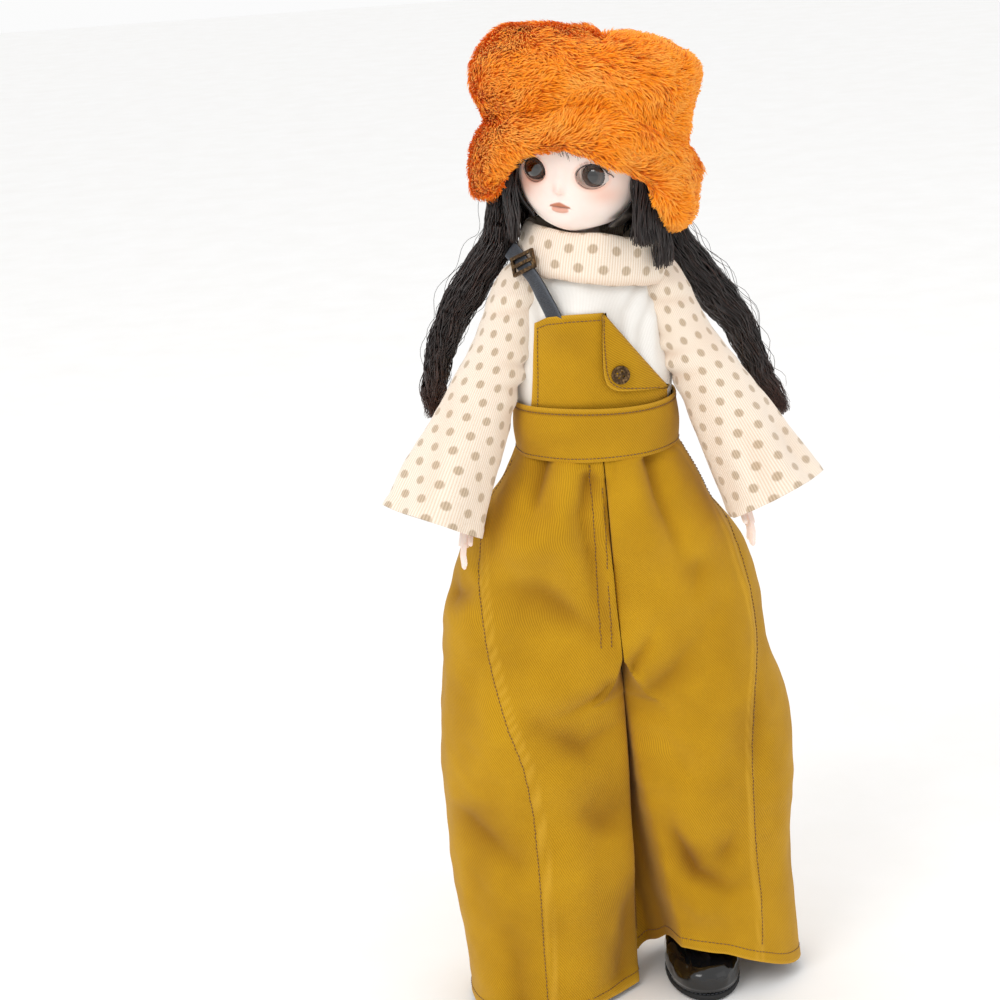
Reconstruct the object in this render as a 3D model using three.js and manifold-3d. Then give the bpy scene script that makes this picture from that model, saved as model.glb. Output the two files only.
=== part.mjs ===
// Ball jointed doll, one sixth of life size, in a plush hat, a sweater with bell sleeves and wide dungarees.
// Millimetres, +Z up. The doll faces -Y and its own right side is -X. The soles stand on z = 0.
import * as THREE from 'three';
import { mergeVertices } from 'three/addons/utils/BufferGeometryUtils.js';
import Module from 'manifold-3d';

const wasm = await Module();
wasm.setup();

// Clearances
const fitGap = 0.3; // between pieces that lie on each other
const socketGap = 0.4; // between a ball and its socket
const swingGap = 0.5; // beside a limb that swings
const overrun = 2; // how far a cut runs past the face that it opens

// Legs
const soleThickness = 2.4;
const ankleRise = 18.6;
const shinLength = 60;
const kneeLinkLength = 9;
const thighLength = 60;
const hipHalfSpan = 16;
const legSpread = 4;
const hipRadius = 13;
const hipRimDrop = 6;
const thighWidth = 26;
const thighDepth = 27;
const kneeRadius = 8;
const kneeNeckRadius = 6;
const kneeRimRise = 1;
const shinWidth = 18.5;
const shinDepth = 20;
const ankleRadius = 6;
const ankleRimRise = 2.5;
const footLength = 36;
const footWidth = 17.5;
const footForward = 5.5;
const shoeLength = 42;
const shoeWidth = 24;
const shoeHeight = 14;
const shoeMouthWidth = 15;
const shoeMouthLength = 22;

// Torso
const waistRise = 56;
const waistRadius = 12;
const waistRimGap = 7;
const pelvisWidth = 54;
const pelvisDepth = 31;
const pelvisDrop = 9;
const chestWidth = 34.6;
const chestDepth = 29;
const chestRise = 38;
const neckRise = 36;
const neckBallRadius = 6.5;
const neckShaftRadius = 4.6;
const neckLength = 17;
const skullBallRadius = 6;

// Arms
const shoulderRise = 26;
const shoulderHalfSpan = 21.5;
const shoulderRadius = 6;
const shoulderRimDrop = 2.5;
const shoulderPlane = 17.8; // the chest stays inside this half width and the arm outside it
const upperArmLength = 33;
const upperArmWidth = 10.6;
const elbowLinkLength = 7;
const elbowRadius = 4.2;
const elbowNeckRadius = 3.2;
const elbowRimRise = 0.8;
const forearmLength = 29;
const forearmWidth = 9.6;
const wristRadius = 2.9;
const wristRimRise = 1.2;
const armSpread = 17;
const armForward = 15;
const palmLength = 8.4;
const palmWidth = 7.6;
const palmThickness = 4;
const fingerRadius = 0.95;
const fingerLength = 7.6;
const fingerSpread = 5;
const thumbLength = 5.6;
const thumbSpread = 32;

// Joint travel that the pieces leave room for, in degrees
const hipBackward = 15;
const kneeFold = 55;
const elbowFold = 55;

// Stringing
const elasticRadius = 0.9;
const channelRadius = 1.7;
const stringHalfGap = 2.3;
const legStringForward = 3.4;
const stringMeetRise = 32;

// Head
const headWidth = 46;
const headDepth = 49;
const headHeight = 48;
const headWall = 3;
const chinDrop = 4;
const headForward = 3;
const headRoll = 10;
const headTurn = 16;
const eyeRadius = 6.4;
const eyeHalfSpan = 8.3;
const eyeRise = 15.6;
const eyeInset = 16.6;
const eyeOpeningWidth = 7.8;
const eyeOpeningHeight = 6;
const irisRadius = 3;
const irisBulge = 0.5;
const noseRise = 9.6;
const noseSize = 2.6;
const noseNarrowShare = 0.8;
const mouthRise = 4.6;
const mouthWidth = 5.6;
const mouthHeight = 2.2;
const capTilt = 38;
const capBack = 5;
const throatFlare = 31;
const hookBarLength = 11;
const hookBarRadius = 1;

// Hair and hat
const wigThickness = 3.4;
const wigSeat = 1.6;
const wigCrownDrop = 0.8;
const hatSeat = 1.6;
const faceWindowWidth = 33;
const fringeRise = 21;
const wigNapeRise = -1;
const lockLength = 84;
const lockWidth = 15;
const lockDepth = 17;
const lockReach = 52;
const lockTopRise = 2;
const hatWidth = 66;
const hatDepth = 66;
const hatHeight = 55.5;
const hatDrop = 2;
const hatInsideHeight = 53.4;
const earLift = 3.2;
const hatMouthWidth = 50;
const hatMouthRise = 22;

// Sweater
const knitThickness = 0.9;
const sweaterWidth = 43;
const sweaterDepth = 36;
const sweaterHeight = 62;
const sweaterTuck = 24;
const sweaterFold = 0.5;
const collarWidth = 43;
const collarDepth = 35;
const collarHeight = 14;
const collarLean = 4;
const sleeveLength = 66;
const sleeveWidth = 32;
const sleeveDepth = 30;
const sleeveTopRise = 9;
const sleeveFold = 0.9;

// Dungarees
const twillThickness = 1;
const waistbandWidth = 49.6;
const waistbandDepth = 42;
const waistbandHeight = 16.5;
const waistbandDrop = 22.5;
const hipClothWidth = 104;
const hipClothDepth = 51;
const hipClothHeight = 62;
const trouserLegWidth = 55;
const trouserLegDepth = 52;
const trouserLegTopRise = 6.3; // over the hip joint
const trouserLegHalfSpan = 28.4;
const coveringHemRise = 1.4;
const raisedHemRise = 20;
const raisedHemSlope = 15; // from the inside of that leg down to the outside and back
const hemSlopeTurn = 30;
const trouserFold = 1.5;
const bibHalfWidth = 20.5;
const bibHeight = 29;
const bibCornerWidth = 17.5;
const lapelDrop = 26;
const bibCloth = 1;
const buttonRadius = 2.85;
const buttonThickness = 1.4;
const buttonDish = 0.5;
const buttonRim = 0.6;
const buttonHoleRadius = 0.34;
const buttonHoleSpacing = 1.5;
const buttonSide = 6.6;
const buttonRise = 10;
const crotchDrop = 31.7; // below the hip joint
const lapelBase = 3;
const lapelFold = 2.6;
const bibSlope = 3.2;
const buttonSeat = 19.95;
const buttonTurn = 18;
const strapWidth = 4.6;
const strapThickness = 0.9;
const strapReach = 5.2;
const buckleWidth = 9.6;
const buckleLength = 6;
const buckleThickness = 0.9;
const buckleBar = 1;
const buckleSide = 20;
const buckleForward = 9.9;
const buckleRise = 2.4;
const buckleAzimuth = 50;
const buckleTilt = 14;
const buckleRoll = -25;

// Derived places
const degree = Math.PI / 180;
const legLength = shinLength + kneeLinkLength + thighLength;
const ankleHeight = soleThickness + ankleRise;
const hipHeight = ankleHeight + legLength * Math.cos(legSpread * degree);
const trouserLegTop = hipHeight + trouserLegTopRise;
const crotchHeight = hipHeight - crotchDrop;
const ankleHalfSpan = hipHalfSpan + legLength * Math.sin(legSpread * degree);
const waistHeight = hipHeight + waistRise;
const shoulderHeight = waistHeight + shoulderRise;
const neckHeight = waistHeight + neckRise;
const headPivotHeight = neckHeight + neckLength;
const wristDrop = upperArmLength + elbowLinkLength + forearmLength;
const waistbandBase = waistHeight - waistbandDrop;
const waistbandTop = waistbandBase + waistbandHeight;
const hookHeight = headPivotHeight + skullBallRadius + fitGap + hookBarRadius;
const rightSide = -1;
const leftSide = 1;

// Frames
const doll = new THREE.Group();

function frameAt(parent, x, y, z) {
  const frame = new THREE.Group();
  frame.position.set(x, y, z);
  parent.add(frame);
  return frame;
}

function legFrame(side) {
  const frame = frameAt(doll, side * hipHalfSpan, 0, hipHeight);
  frame.rotation.y = -side * legSpread * degree;
  return frame;
}

function armFrame(side) {
  const frame = frameAt(doll, side * shoulderHalfSpan, 0, shoulderHeight);
  frame.rotation.x = -armForward * degree;
  frame.rotation.y = -side * armSpread * degree;
  return frame;
}

const body = frameAt(doll, 0, 0, 0);
const legs = { [rightSide]: legFrame(rightSide), [leftSide]: legFrame(leftSide) };
const arms = { [rightSide]: armFrame(rightSide), [leftSide]: armFrame(leftSide) };
const feet = {
  [rightSide]: frameAt(doll, -ankleHalfSpan, 0, ankleHeight),
  [leftSide]: frameAt(doll, ankleHalfSpan, 0, ankleHeight),
};
const head = frameAt(doll, 0, 0, headPivotHeight);
head.rotation.order = 'YXZ';
head.rotation.y = headRoll * degree;
head.rotation.z = -headTurn * degree;
doll.updateMatrixWorld(true);

// Solids
function solidOf(geometry, frame) {
  const source = geometry.clone();
  source.deleteAttribute('normal');
  source.deleteAttribute('uv');
  if (frame) source.applyMatrix4(frame.isMatrix4 ? frame : frame.matrixWorld);
  const merged = mergeVertices(source);
  return new wasm.Manifold(new wasm.Mesh({
    numProp: 3,
    vertProperties: new Float32Array(merged.attributes.position.array),
    triVerts: new Uint32Array(merged.index.array),
  }));
}

function geometryOf(solid) {
  const data = solid.getMesh();
  const geometry = new THREE.BufferGeometry();
  geometry.setAttribute('position', new THREE.BufferAttribute(new Float32Array(data.vertProperties), 3));
  geometry.setIndex(new THREE.BufferAttribute(new Uint32Array(data.triVerts), 1));
  return geometry;
}

const joined = (solids) => solids.reduce((whole, next) => whole.add(next));
const cutBy = (solid, cutters) => cutters.reduce((rest, cutter) => rest.subtract(cutter), solid);

// Puts a solid that was worked out in the doll's frame into the group that carries it.
function place(name, solid, finish, frame = body) {
  const geometry = geometryOf(solid).applyMatrix4(frame.matrixWorld.clone().invert());
  geometry.computeVertexNormals();
  const mesh = new THREE.Mesh(geometry, new THREE.MeshStandardMaterial(finish));
  mesh.name = name;
  frame.add(mesh);
}

// A closed body through level sections. Each row of shares gives the height, the half width, the half depth,
// the shift to the side as a share of the reach, and the shift to the back as a share of the depth. The skin
// may grow outwards, and its ends with it.
function loft(size, outlineShares, shape = {}) {
  const { rings, sides, corner = 2, grow = 0, ends = grow, fold, lift } = shape;
  const { base = 0, height, width, depth, reach = width } = size;
  const heights = outlineShares.map((row) => row[0]);
  const values = outlineShares.flatMap(([, wide, deep, side = 0, back = 0]) => [wide, deep, side, back]);
  const sections = new THREE.CubicInterpolant(heights, values, 4, new Float32Array(4));
  const positions = [];
  for (let ring = 0; ring <= rings; ring += 1) {
    const share = (1 - Math.cos((Math.PI * ring) / rings)) / 2;
    const [wide, deep, side, back] = sections.evaluate(share);
    const z = base + share * height + ends * (2 * share - 1);
    for (let step = 0; step < sides; step += 1) {
      const angle = (2 * Math.PI * step) / sides;
      const across = Math.sign(Math.cos(angle)) * Math.abs(Math.cos(angle)) ** (2 / corner);
      const along = Math.sign(Math.sin(angle)) * Math.abs(Math.sin(angle)) ** (2 / corner);
      const out = grow + (fold ? fold(angle, share) : 0);
      positions.push(
        side * reach + ((wide * width) / 2 + out) * across,
        back * depth + ((deep * depth) / 2 + out) * along,
        z + (lift ? lift(angle, share) : 0),
      );
    }
  }
  return closedRings(positions, rings, sides);
}

// Joins rings of points into a skin and closes the first and the last ring with a fan.
function closedRings(positions, rings, sides) {
  const index = [];
  for (const ring of [0, rings]) {
    const centre = new THREE.Vector3();
    for (let step = 0; step < sides; step += 1) {
      centre.add(new THREE.Vector3().fromArray(positions, 3 * (ring * sides + step)));
    }
    positions.push(...centre.divideScalar(sides).toArray());
  }
  const low = (rings + 1) * sides;
  for (let step = 0; step < sides; step += 1) {
    const next = (step + 1) % sides;
    index.push(low, next, step);
    index.push(low + 1, rings * sides + step, rings * sides + next);
    for (let ring = 0; ring < rings; ring += 1) {
      const a = ring * sides + step;
      const b = ring * sides + next;
      index.push(a, b, b + sides, a, b + sides, a + sides);
    }
  }
  const geometry = new THREE.BufferGeometry();
  geometry.setAttribute('position', new THREE.Float32BufferAttribute(positions, 3));
  geometry.setIndex(index);
  return geometry;
}

const bigBallSides = 12;
const ballSides = 10;
const smallBallSides = 10;
const wristSides = 8;
const ballRings = (sides) => Math.ceil(sides / 2);
const ball = (radius, x = 0, y = 0, z = 0, sides = bigBallSides) => (
  new THREE.SphereGeometry(radius, sides, ballRings(sides)).rotateX(Math.PI / 2).translate(x, y, z)
);

// The room round a ball, whose flats clear the ball's corners when it turns.
function socket(radius, x = 0, y = 0, z = 0, sides = bigBallSides) {
  const flatShare = Math.cos(Math.PI / sides) * Math.cos(Math.PI / (2 * ballRings(sides)));
  return ball((radius + socketGap) / flatShare, x, y, z, sides);
}

// A round bar between two points.
function bar(from, to, radius, sides = 8, endRadius = radius) {
  const start = new THREE.Vector3(...from);
  const way = new THREE.Vector3(...to).sub(start);
  const up = new THREE.Vector3(0, 1, 0);
  const turned = new THREE.Quaternion().setFromUnitVectors(up, way.clone().normalize());
  return new THREE.CylinderGeometry(endRadius, radius, way.length(), sides)
    .applyQuaternion(turned)
    .translate(...start.addScaledVector(way, 1 / 2).toArray());
}

// A round tube with a ring of points at each bend of its route. The radius may change from ring to ring.
function tube(route, radius, sides = 6, radiusShares = route.map(() => 1)) {
  const points = route.map((point) => new THREE.Vector3(...point));
  const ways = points.slice(1).map((point, i) => point.clone().sub(points[i]).normalize());
  let across = new THREE.Vector3(0, 1, 0).cross(ways[0]).normalize();
  const positions = [];
  points.forEach((point, i) => {
    const before = ways[Math.max(0, i - 1)];
    const after = ways[Math.min(i, ways.length - 1)];
    const along = before.clone().add(after).normalize();
    across = across.clone().addScaledVector(along, -across.dot(along)).normalize();
    const other = along.clone().cross(across);
    for (let step = 0; step < sides; step += 1) {
      const angle = (2 * Math.PI * step) / sides;
      positions.push(...point.clone()
        .addScaledVector(across, Math.cos(angle) * radius * radiusShares[i])
        .addScaledVector(other, Math.sin(angle) * radius * radiusShares[i])
        .toArray());
    }
  });
  return closedRings(positions, points.length - 1, sides);
}

const place3 = (frame, x, y, z) => new THREE.Vector3(x, y, z).applyMatrix4(frame.matrixWorld).toArray();

// What a limb needs cut away at a double joint, so that the link and the next limb can fold against it.
// The limb lies above the axis for a way of 1 and below it for -1. It folds to the back for a positive angle.
function foldRooms(axisPoint, way, fold, linkRadius, linkLength, frame) {
  const far = linkLength + 2 * linkRadius;
  const strip = new THREE.BoxGeometry(2 * linkRadius, 2 * linkRadius, far)
    .translate(0, 0, (-way * far) / 2);
  const beyond = new THREE.BoxGeometry(2 * far, 2 * far, far)
    .translate(0, 0, (-way * (far + linkLength - fitGap)) / 2);
  return [strip, beyond].map((geometry) => solidOf(
    geometry.rotateX(way * fold * degree).translate(...axisPoint),
    frame,
  ));
}

// Finishes
const resin = { color: 0xf3ded2, roughness: 0.55, metalness: 0 };
const glass = { color: 0x3a2a24, roughness: 0.08, metalness: 0 };
const hairFinish = { color: 0x1d1310, roughness: 0.4, metalness: 0 };
const fur = { color: 0xff7d14, roughness: 0.95, metalness: 0 };
const jersey = { color: 0xf3f0ea, roughness: 0.9, metalness: 0 };
const knit = { color: 0xf4e6d2, roughness: 0.92, metalness: 0 };
const twill = { color: 0xc08a10, roughness: 0.85, metalness: 0 };
const leather = { color: 0x33373d, roughness: 0.6, metalness: 0 };
const bronze = { color: 0x4a3b2a, roughness: 0.4, metalness: 0.85 };
const patent = { color: 0x0b0b0c, roughness: 0.12, metalness: 0 };
const rubber = { color: 0x101010, roughness: 0.7, metalness: 0 };
const elastic = { color: 0xe8e4da, roughness: 0.8, metalness: 0 };
const steel = { color: 0x9a9a98, roughness: 0.35, metalness: 0.9 };

const sideName = (name, side) => `${name}_${side === rightSide ? 'right' : 'left'}`;
const bothSides = [rightSide, leftSide];

// Stringing routes
function legRoute(side) {
  return [
    place3(legs[side], 0, 0, -legLength),
    place3(legs[side], 0, 0, 0),
    [side * stringHalfGap, -legStringForward / 2, hipHeight + stringMeetRise],
    [side * stringHalfGap, -legStringForward, waistHeight],
    [side * stringHalfGap, -legStringForward / 2, neckHeight],
    [side * stringHalfGap, 0, hookHeight + hookBarRadius + fitGap + elasticRadius],
  ];
}
const armRoute = (side) => [place3(arms[side], 0, 0, -wristDrop), place3(arms[side], 0, 0, 0)];
const legString = (radius) => solidOf(tube([
  ...legRoute(rightSide), ...legRoute(leftSide).reverse(),
], radius));
const armString = (radius) => solidOf(tube([
  ...armRoute(rightSide), [0, legStringForward / 2, shoulderHeight], ...armRoute(leftSide).reverse(),
], radius));
const legChannel = legString(channelRadius);
const armChannel = armString(channelRadius);

// Legs
const thighOutlineShares = [
  [0, 0.7, 0.7], [0.06, 0.71, 0.72], [0.3, 0.84, 0.83], [0.65, 0.97, 0.96], [0.9, 1, 0.97], [1, 0.96, 0.92],
];
const shinOutlineShares = [
  [0, 0.66, 0.62], [0.15, 0.6, 0.6, 0, 0.02], [0.45, 0.76, 0.8, 0, 0.05], [0.72, 0.94, 0.98, 0, 0.05],
  [0.9, 0.95, 0.92, 0, 0.02], [1, 0.93, 0.86],
];
const thighSize = {
  base: -thighLength + kneeRimRise,
  height: thighLength - kneeRimRise - hipRimDrop,
  width: thighWidth,
  depth: thighDepth,
};
const shinSize = {
  base: -legLength + ankleRimRise,
  height: shinLength - ankleRimRise - kneeRimRise,
  width: shinWidth,
  depth: shinDepth,
};
const upperKnee = [0, 0, -thighLength];
const lowerKnee = [0, 0, -thighLength - kneeLinkLength];
const linkSolids = (radius, neckRadius, from, to, sides, frame) => [
  ball(radius, ...from, sides), ball(radius, ...to, sides), bar(to, from, neckRadius, sides),
].map((form) => solidOf(form, frame));

const footOutlineShares = [
  [0, 0.9, 0.98, 0, 0], [0.12, 0.98, 1, 0, 0], [0.35, 0.96, 0.92, 0, 0.03], [0.6, 0.78, 0.62, 0, 0.09],
  [0.82, 0.62, 0.36, 0, 0.13], [1, 0.62, 0.31, 0, 0.14],
];
const footDrop = ankleRise - fitGap;
const footSize = {
  base: -footDrop, height: footDrop - ankleRimRise, width: footWidth, depth: footLength,
};
const shoeOutlineShares = [
  [0, 0.93, 0.95, 0, 0], [0.15, 1, 1, 0, 0], [0.4, 1, 0.98, 0, 0.005], [0.65, 0.95, 0.9, 0, 0.03],
  [0.85, 0.8, 0.7, 0, 0.1], [1, 0.62, 0.52, 0, 0.17],
];
const shoeSize = {
  base: -ankleRise, height: shoeHeight - soleThickness, width: shoeWidth, depth: shoeLength,
};
const soleOutline = (grow) => {
  const outline = new THREE.Shape();
  outline.absellipse(0, 0, shoeWidth / 2 + grow, shoeLength / 2 + grow, 0, 2 * Math.PI);
  return outline;
};

function makeLeg(side) {
  const frame = legs[side];
  const foot = feet[side];
  const thigh = solidOf(loft(thighSize, thighOutlineShares, { rings: 5, sides: 12 }), frame);
  const shin = solidOf(loft(shinSize, shinOutlineShares, { rings: 7, sides: 10 }), frame);
  const linkRoom = kneeRadius + socketGap;
  const ankleSocket = solidOf(socket(ankleRadius, 0, 0, 0, smallBallSides), foot);
  place(sideName('hip_ball', side), solidOf(ball(hipRadius), frame).subtract(legChannel), resin, frame);
  place(sideName('thigh', side), cutBy(thigh, [
    solidOf(socket(hipRadius), frame),
    solidOf(socket(kneeRadius, ...upperKnee, ballSides), frame),
    ...foldRooms(upperKnee, 1, kneeFold, linkRoom, kneeLinkLength, frame),
    legChannel,
  ]), resin, frame);
  place(sideName('knee_link', side), joined(
    linkSolids(kneeRadius, kneeNeckRadius, upperKnee, lowerKnee, ballSides, frame),
  ).subtract(legChannel), resin, frame);
  place(sideName('shin', side), cutBy(shin, [
    solidOf(socket(kneeRadius, ...lowerKnee, ballSides), frame),
    ...foldRooms(lowerKnee, -1, kneeFold, linkRoom, kneeLinkLength, frame),
    ankleSocket,
    legChannel,
  ]), resin, frame);
  const ankle = solidOf(ball(ankleRadius, 0, 0, 0, smallBallSides), foot);
  place(sideName('ankle_ball', side), ankle.subtract(legChannel), resin, foot);
  const footBody = loft(footSize, footOutlineShares, { rings: 5, sides: 12 }).translate(0, -footForward, 0);
  const footRoom = loft(footSize, footOutlineShares, { rings: 5, sides: 12, grow: 2 * fitGap })
    .translate(0, -footForward, 0);
  place(sideName('foot', side), cutBy(solidOf(footBody, foot), [ankleSocket, legChannel]), resin, foot);
  const upper = loft(shoeSize, shoeOutlineShares, { rings: 5, sides: 18, corner: 2.25 })
    .translate(0, -footForward, 0);
  const mouth = loft(
    { base: shoeHeight / 2 - ankleRise, height: shoeHeight, width: shoeMouthWidth, depth: shoeMouthLength },
    [[0, 1, 1], [1, 1, 1]],
    { rings: 1, sides: 14 },
  );
  place(sideName('shoe_upper', side), cutBy(solidOf(upper, foot), [
    solidOf(footRoom, foot), solidOf(mouth, foot),
  ]), patent, foot);
  const sole = new THREE.ExtrudeGeometry(soleOutline(0), {
    depth: soleThickness - fitGap, bevelEnabled: false, curveSegments: 10,
  }).translate(0, -footForward, -ankleRise - soleThickness);
  place(sideName('shoe_sole', side), solidOf(sole, foot), rubber, foot);
}

// What the pelvis leaves free for a thigh: its ball, the way forward and back, and the way out to the side.
function thighRooms(side) {
  const reach = hipRadius + swingGap;
  const far = 3 * hipRadius;
  const fan = new THREE.Shape([
    new THREE.Vector2(0, reach),
    new THREE.Vector2(-far, reach),
    new THREE.Vector2(-far, -far),
    new THREE.Vector2(far * Math.sin(hipBackward * degree), -far),
    new THREE.Vector2(reach * Math.cos(hipBackward * degree), reach * Math.sin(hipBackward * degree)),
    new THREE.Vector2(0, 0),
  ]);
  const inPlace = (geometry) => solidOf(geometry.translate(side * hipHalfSpan, 0, hipHeight));
  return [
    inPlace(socket(hipRadius)),
    inPlace(new THREE.ExtrudeGeometry(fan, { depth: 2 * reach, bevelEnabled: false })
      .rotateX(Math.PI / 2).rotateZ(Math.PI / 2).translate(-reach, 0, 0)),
    inPlace(new THREE.CylinderGeometry(reach, reach, far, 14).rotateZ(Math.PI / 2)
      .translate((side * far) / 2, 0, 0)),
  ];
}

// Torso
const pelvisOutlineShares = [
  [0, 0.22, 0.36, 0, 0.02], [0.12, 0.62, 0.74, 0, 0.02], [0.3, 0.98, 1, 0, 0.03],
  [0.48, 0.98, 0.98, 0, 0.03],
  [0.66, 0.7, 0.86], [0.8, 0.66, 0.84], [0.9, 0.62, 0.82], [1, 0.6, 0.82],
];
const pelvisSize = {
  base: hipHeight - pelvisDrop,
  height: waistRise + pelvisDrop - waistRimGap / 2,
  width: pelvisWidth,
  depth: pelvisDepth,
};
const chestOutlineShares = [
  [0, 0.92, 0.88], [0.3, 0.97, 1, 0, -0.02], [0.55, 1, 1, 0, -0.01], [0.78, 0.96, 0.86, 0, 0.02],
  [0.93, 0.6, 0.62, 0, 0.02], [1, 0.38, 0.44, 0, 0.02],
];
const chestSize = {
  base: waistHeight + waistRimGap / 2,
  height: chestRise - waistRimGap / 2,
  width: chestWidth,
  depth: chestDepth,
};
const chestForm = (grow) => loft(
  chestSize,
  chestOutlineShares,
  { grow, rings: 7, sides: 16, corner: 2.2 },
);

function makeTorso() {
  const waistSocket = solidOf(socket(waistRadius, 0, 0, waistHeight));
  const shoulderSockets = bothSides.map((side) => solidOf(
    socket(shoulderRadius, side * shoulderHalfSpan, 0, shoulderHeight, smallBallSides),
  ));
  const neckSocket = solidOf(socket(neckBallRadius, 0, 0, neckHeight, ballSides));
  place('waist_ball', solidOf(ball(waistRadius, 0, 0, waistHeight)).subtract(legChannel), resin);
  place('pelvis', cutBy(solidOf(loft(pelvisSize, pelvisOutlineShares, { rings: 8, sides: 16 })), [
    waistSocket,
    ...bothSides.flatMap(thighRooms),
    legChannel,
  ]), resin);
  place('chest', cutBy(solidOf(chestForm(0)), [
    waistSocket, ...shoulderSockets, neckSocket, legChannel, armChannel,
  ]), resin);
}

// Arms
const upperArmOutlineShares = [
  [0, 0.88, 0.88], [0.1, 0.86, 0.88], [0.5, 0.94, 0.98], [0.85, 1, 1], [1, 1.08, 1.08],
];
const forearmOutlineShares = [
  [0, 0.64, 0.6], [0.3, 0.74, 0.72], [0.7, 0.98, 0.98], [0.9, 1, 1], [1, 0.94, 0.94],
];
const upperArmForm = loft(
  {
    base: -upperArmLength + elbowRimRise,
    height: upperArmLength - elbowRimRise - shoulderRimDrop,
    width: upperArmWidth,
    depth: upperArmWidth,
  },
  upperArmOutlineShares,
  { rings: 4, sides: 10 },
);
const forearmForm = loft(
  {
    base: -wristDrop + wristRimRise,
    height: forearmLength - elbowRimRise - wristRimRise,
    width: forearmWidth,
    depth: forearmWidth,
  },
  forearmOutlineShares,
  { rings: 4, sides: 10 },
);
const upperElbow = [0, 0, -upperArmLength];
const lowerElbow = [0, 0, -upperArmLength - elbowLinkLength];

// A hand in its own frame: the wrist at the origin and the fingers down. The palm faces the doll's side.
function handForm(side) {
  const palm = loft(
    { base: -wristRimRise - palmLength, height: palmLength, width: palmThickness, depth: palmWidth },
    [[0, 0.8, 0.96], [0.3, 0.95, 1], [0.7, 1, 0.86], [1, 0.95, 0.6]],
    { rings: 4, sides: 8 },
  );
  const knuckles = -wristRimRise - palmLength;
  const fingerLengthShares = [0.86, 1, 0.95, 0.76];
  const taperShares = [1, 1, 0.85, 0.4];
  const spacing = palmWidth / fingerLengthShares.length;
  const fingers = fingerLengthShares.map((lengthShare, i) => {
    const offset = i - (fingerLengthShares.length - 1) / 2;
    const fan = Math.tan(offset * fingerSpread * degree);
    const bendShares = [0, 0.5, 0.9, 1];
    return tube(bendShares.map((share) => [
      -side * 2 * fingerRadius * share ** 2,
      offset * spacing + fan * fingerLength * lengthShare * share,
      knuckles + fingerRadius - fingerLength * lengthShare * share,
    ]), fingerRadius, 5, taperShares);
  });
  const thumbShares = [0, 0.5, 0.9, 1];
  const thumb = tube(thumbShares.map((share) => [
    -side * fingerRadius * (1 + share),
    -palmWidth / 4 - Math.sin(thumbSpread * degree) * thumbLength * share,
    knuckles + (palmLength * 2) / 3 - Math.cos(thumbSpread * degree) * thumbLength * share,
  ]), fingerRadius, 5, taperShares);
  return joined([palm, thumb, ...fingers].map((form) => solidOf(form)));
}

function makeArm(side) {
  const frame = arms[side];
  const wrist = frameAt(frame, 0, 0, -wristDrop);
  wrist.updateMatrixWorld(true);
  const shoulderSocket = solidOf(socket(shoulderRadius, 0, 0, 0, smallBallSides), frame);
  const besideChest = new THREE.BoxGeometry(2 * shoulderPlane, chestDepth, chestRise)
    .translate(0, 0, shoulderHeight);
  const linkRoom = elbowRadius + socketGap;
  const shoulder = solidOf(ball(shoulderRadius, 0, 0, 0, smallBallSides), frame);
  place(sideName('shoulder_ball', side), shoulder.subtract(armChannel), resin, frame);
  place(sideName('upper_arm', side), cutBy(solidOf(upperArmForm, frame), [
    shoulderSocket,
    solidOf(besideChest),
    solidOf(socket(elbowRadius, ...upperElbow, smallBallSides), frame),
    ...foldRooms(upperElbow, 1, -elbowFold, linkRoom, elbowLinkLength, frame),
    armChannel,
  ]), resin, frame);
  place(sideName('elbow_link', side), joined(
    linkSolids(elbowRadius, elbowNeckRadius, upperElbow, lowerElbow, smallBallSides, frame),
  ).subtract(armChannel), resin, frame);
  const wristSocket = solidOf(socket(wristRadius, 0, 0, 0, wristSides), wrist);
  place(sideName('forearm', side), cutBy(solidOf(forearmForm, frame), [
    solidOf(socket(elbowRadius, ...lowerElbow, smallBallSides), frame),
    ...foldRooms(lowerElbow, -1, -elbowFold, linkRoom, elbowLinkLength, frame),
    wristSocket,
    armChannel,
  ]), resin, frame);
  const wristSolid = solidOf(ball(wristRadius, 0, 0, 0, wristSides), wrist);
  place(sideName('wrist_ball', side), wristSolid.subtract(armChannel), resin, wrist);
  const hand = solidOf(geometryOf(handForm(side)), wrist);
  place(sideName('hand', side), hand.subtract(wristSocket), resin, wrist);
}

// Head
const headOutlineShares = [
  [0, 0.3, 0.34, 0, -0.15], [0.05, 0.5, 0.56, 0, -0.11], [0.18, 0.8, 0.82, 0, -0.045],
  [0.35, 0.96, 0.95, 0, -0.01],
  [0.55, 1, 1], [0.75, 0.93, 0.94, 0, 0.01], [0.9, 0.69, 0.71, 0, 0.02], [1, 0.3, 0.3, 0, 0.02],
];
const headSize = { base: -chinDrop, height: headHeight, width: headWidth, depth: headDepth };
const headForm = (grow, rings = 10, sides = 18) => loft(headSize, headOutlineShares, { grow, rings, sides })
  .translate(0, -headForward, 0);

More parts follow.
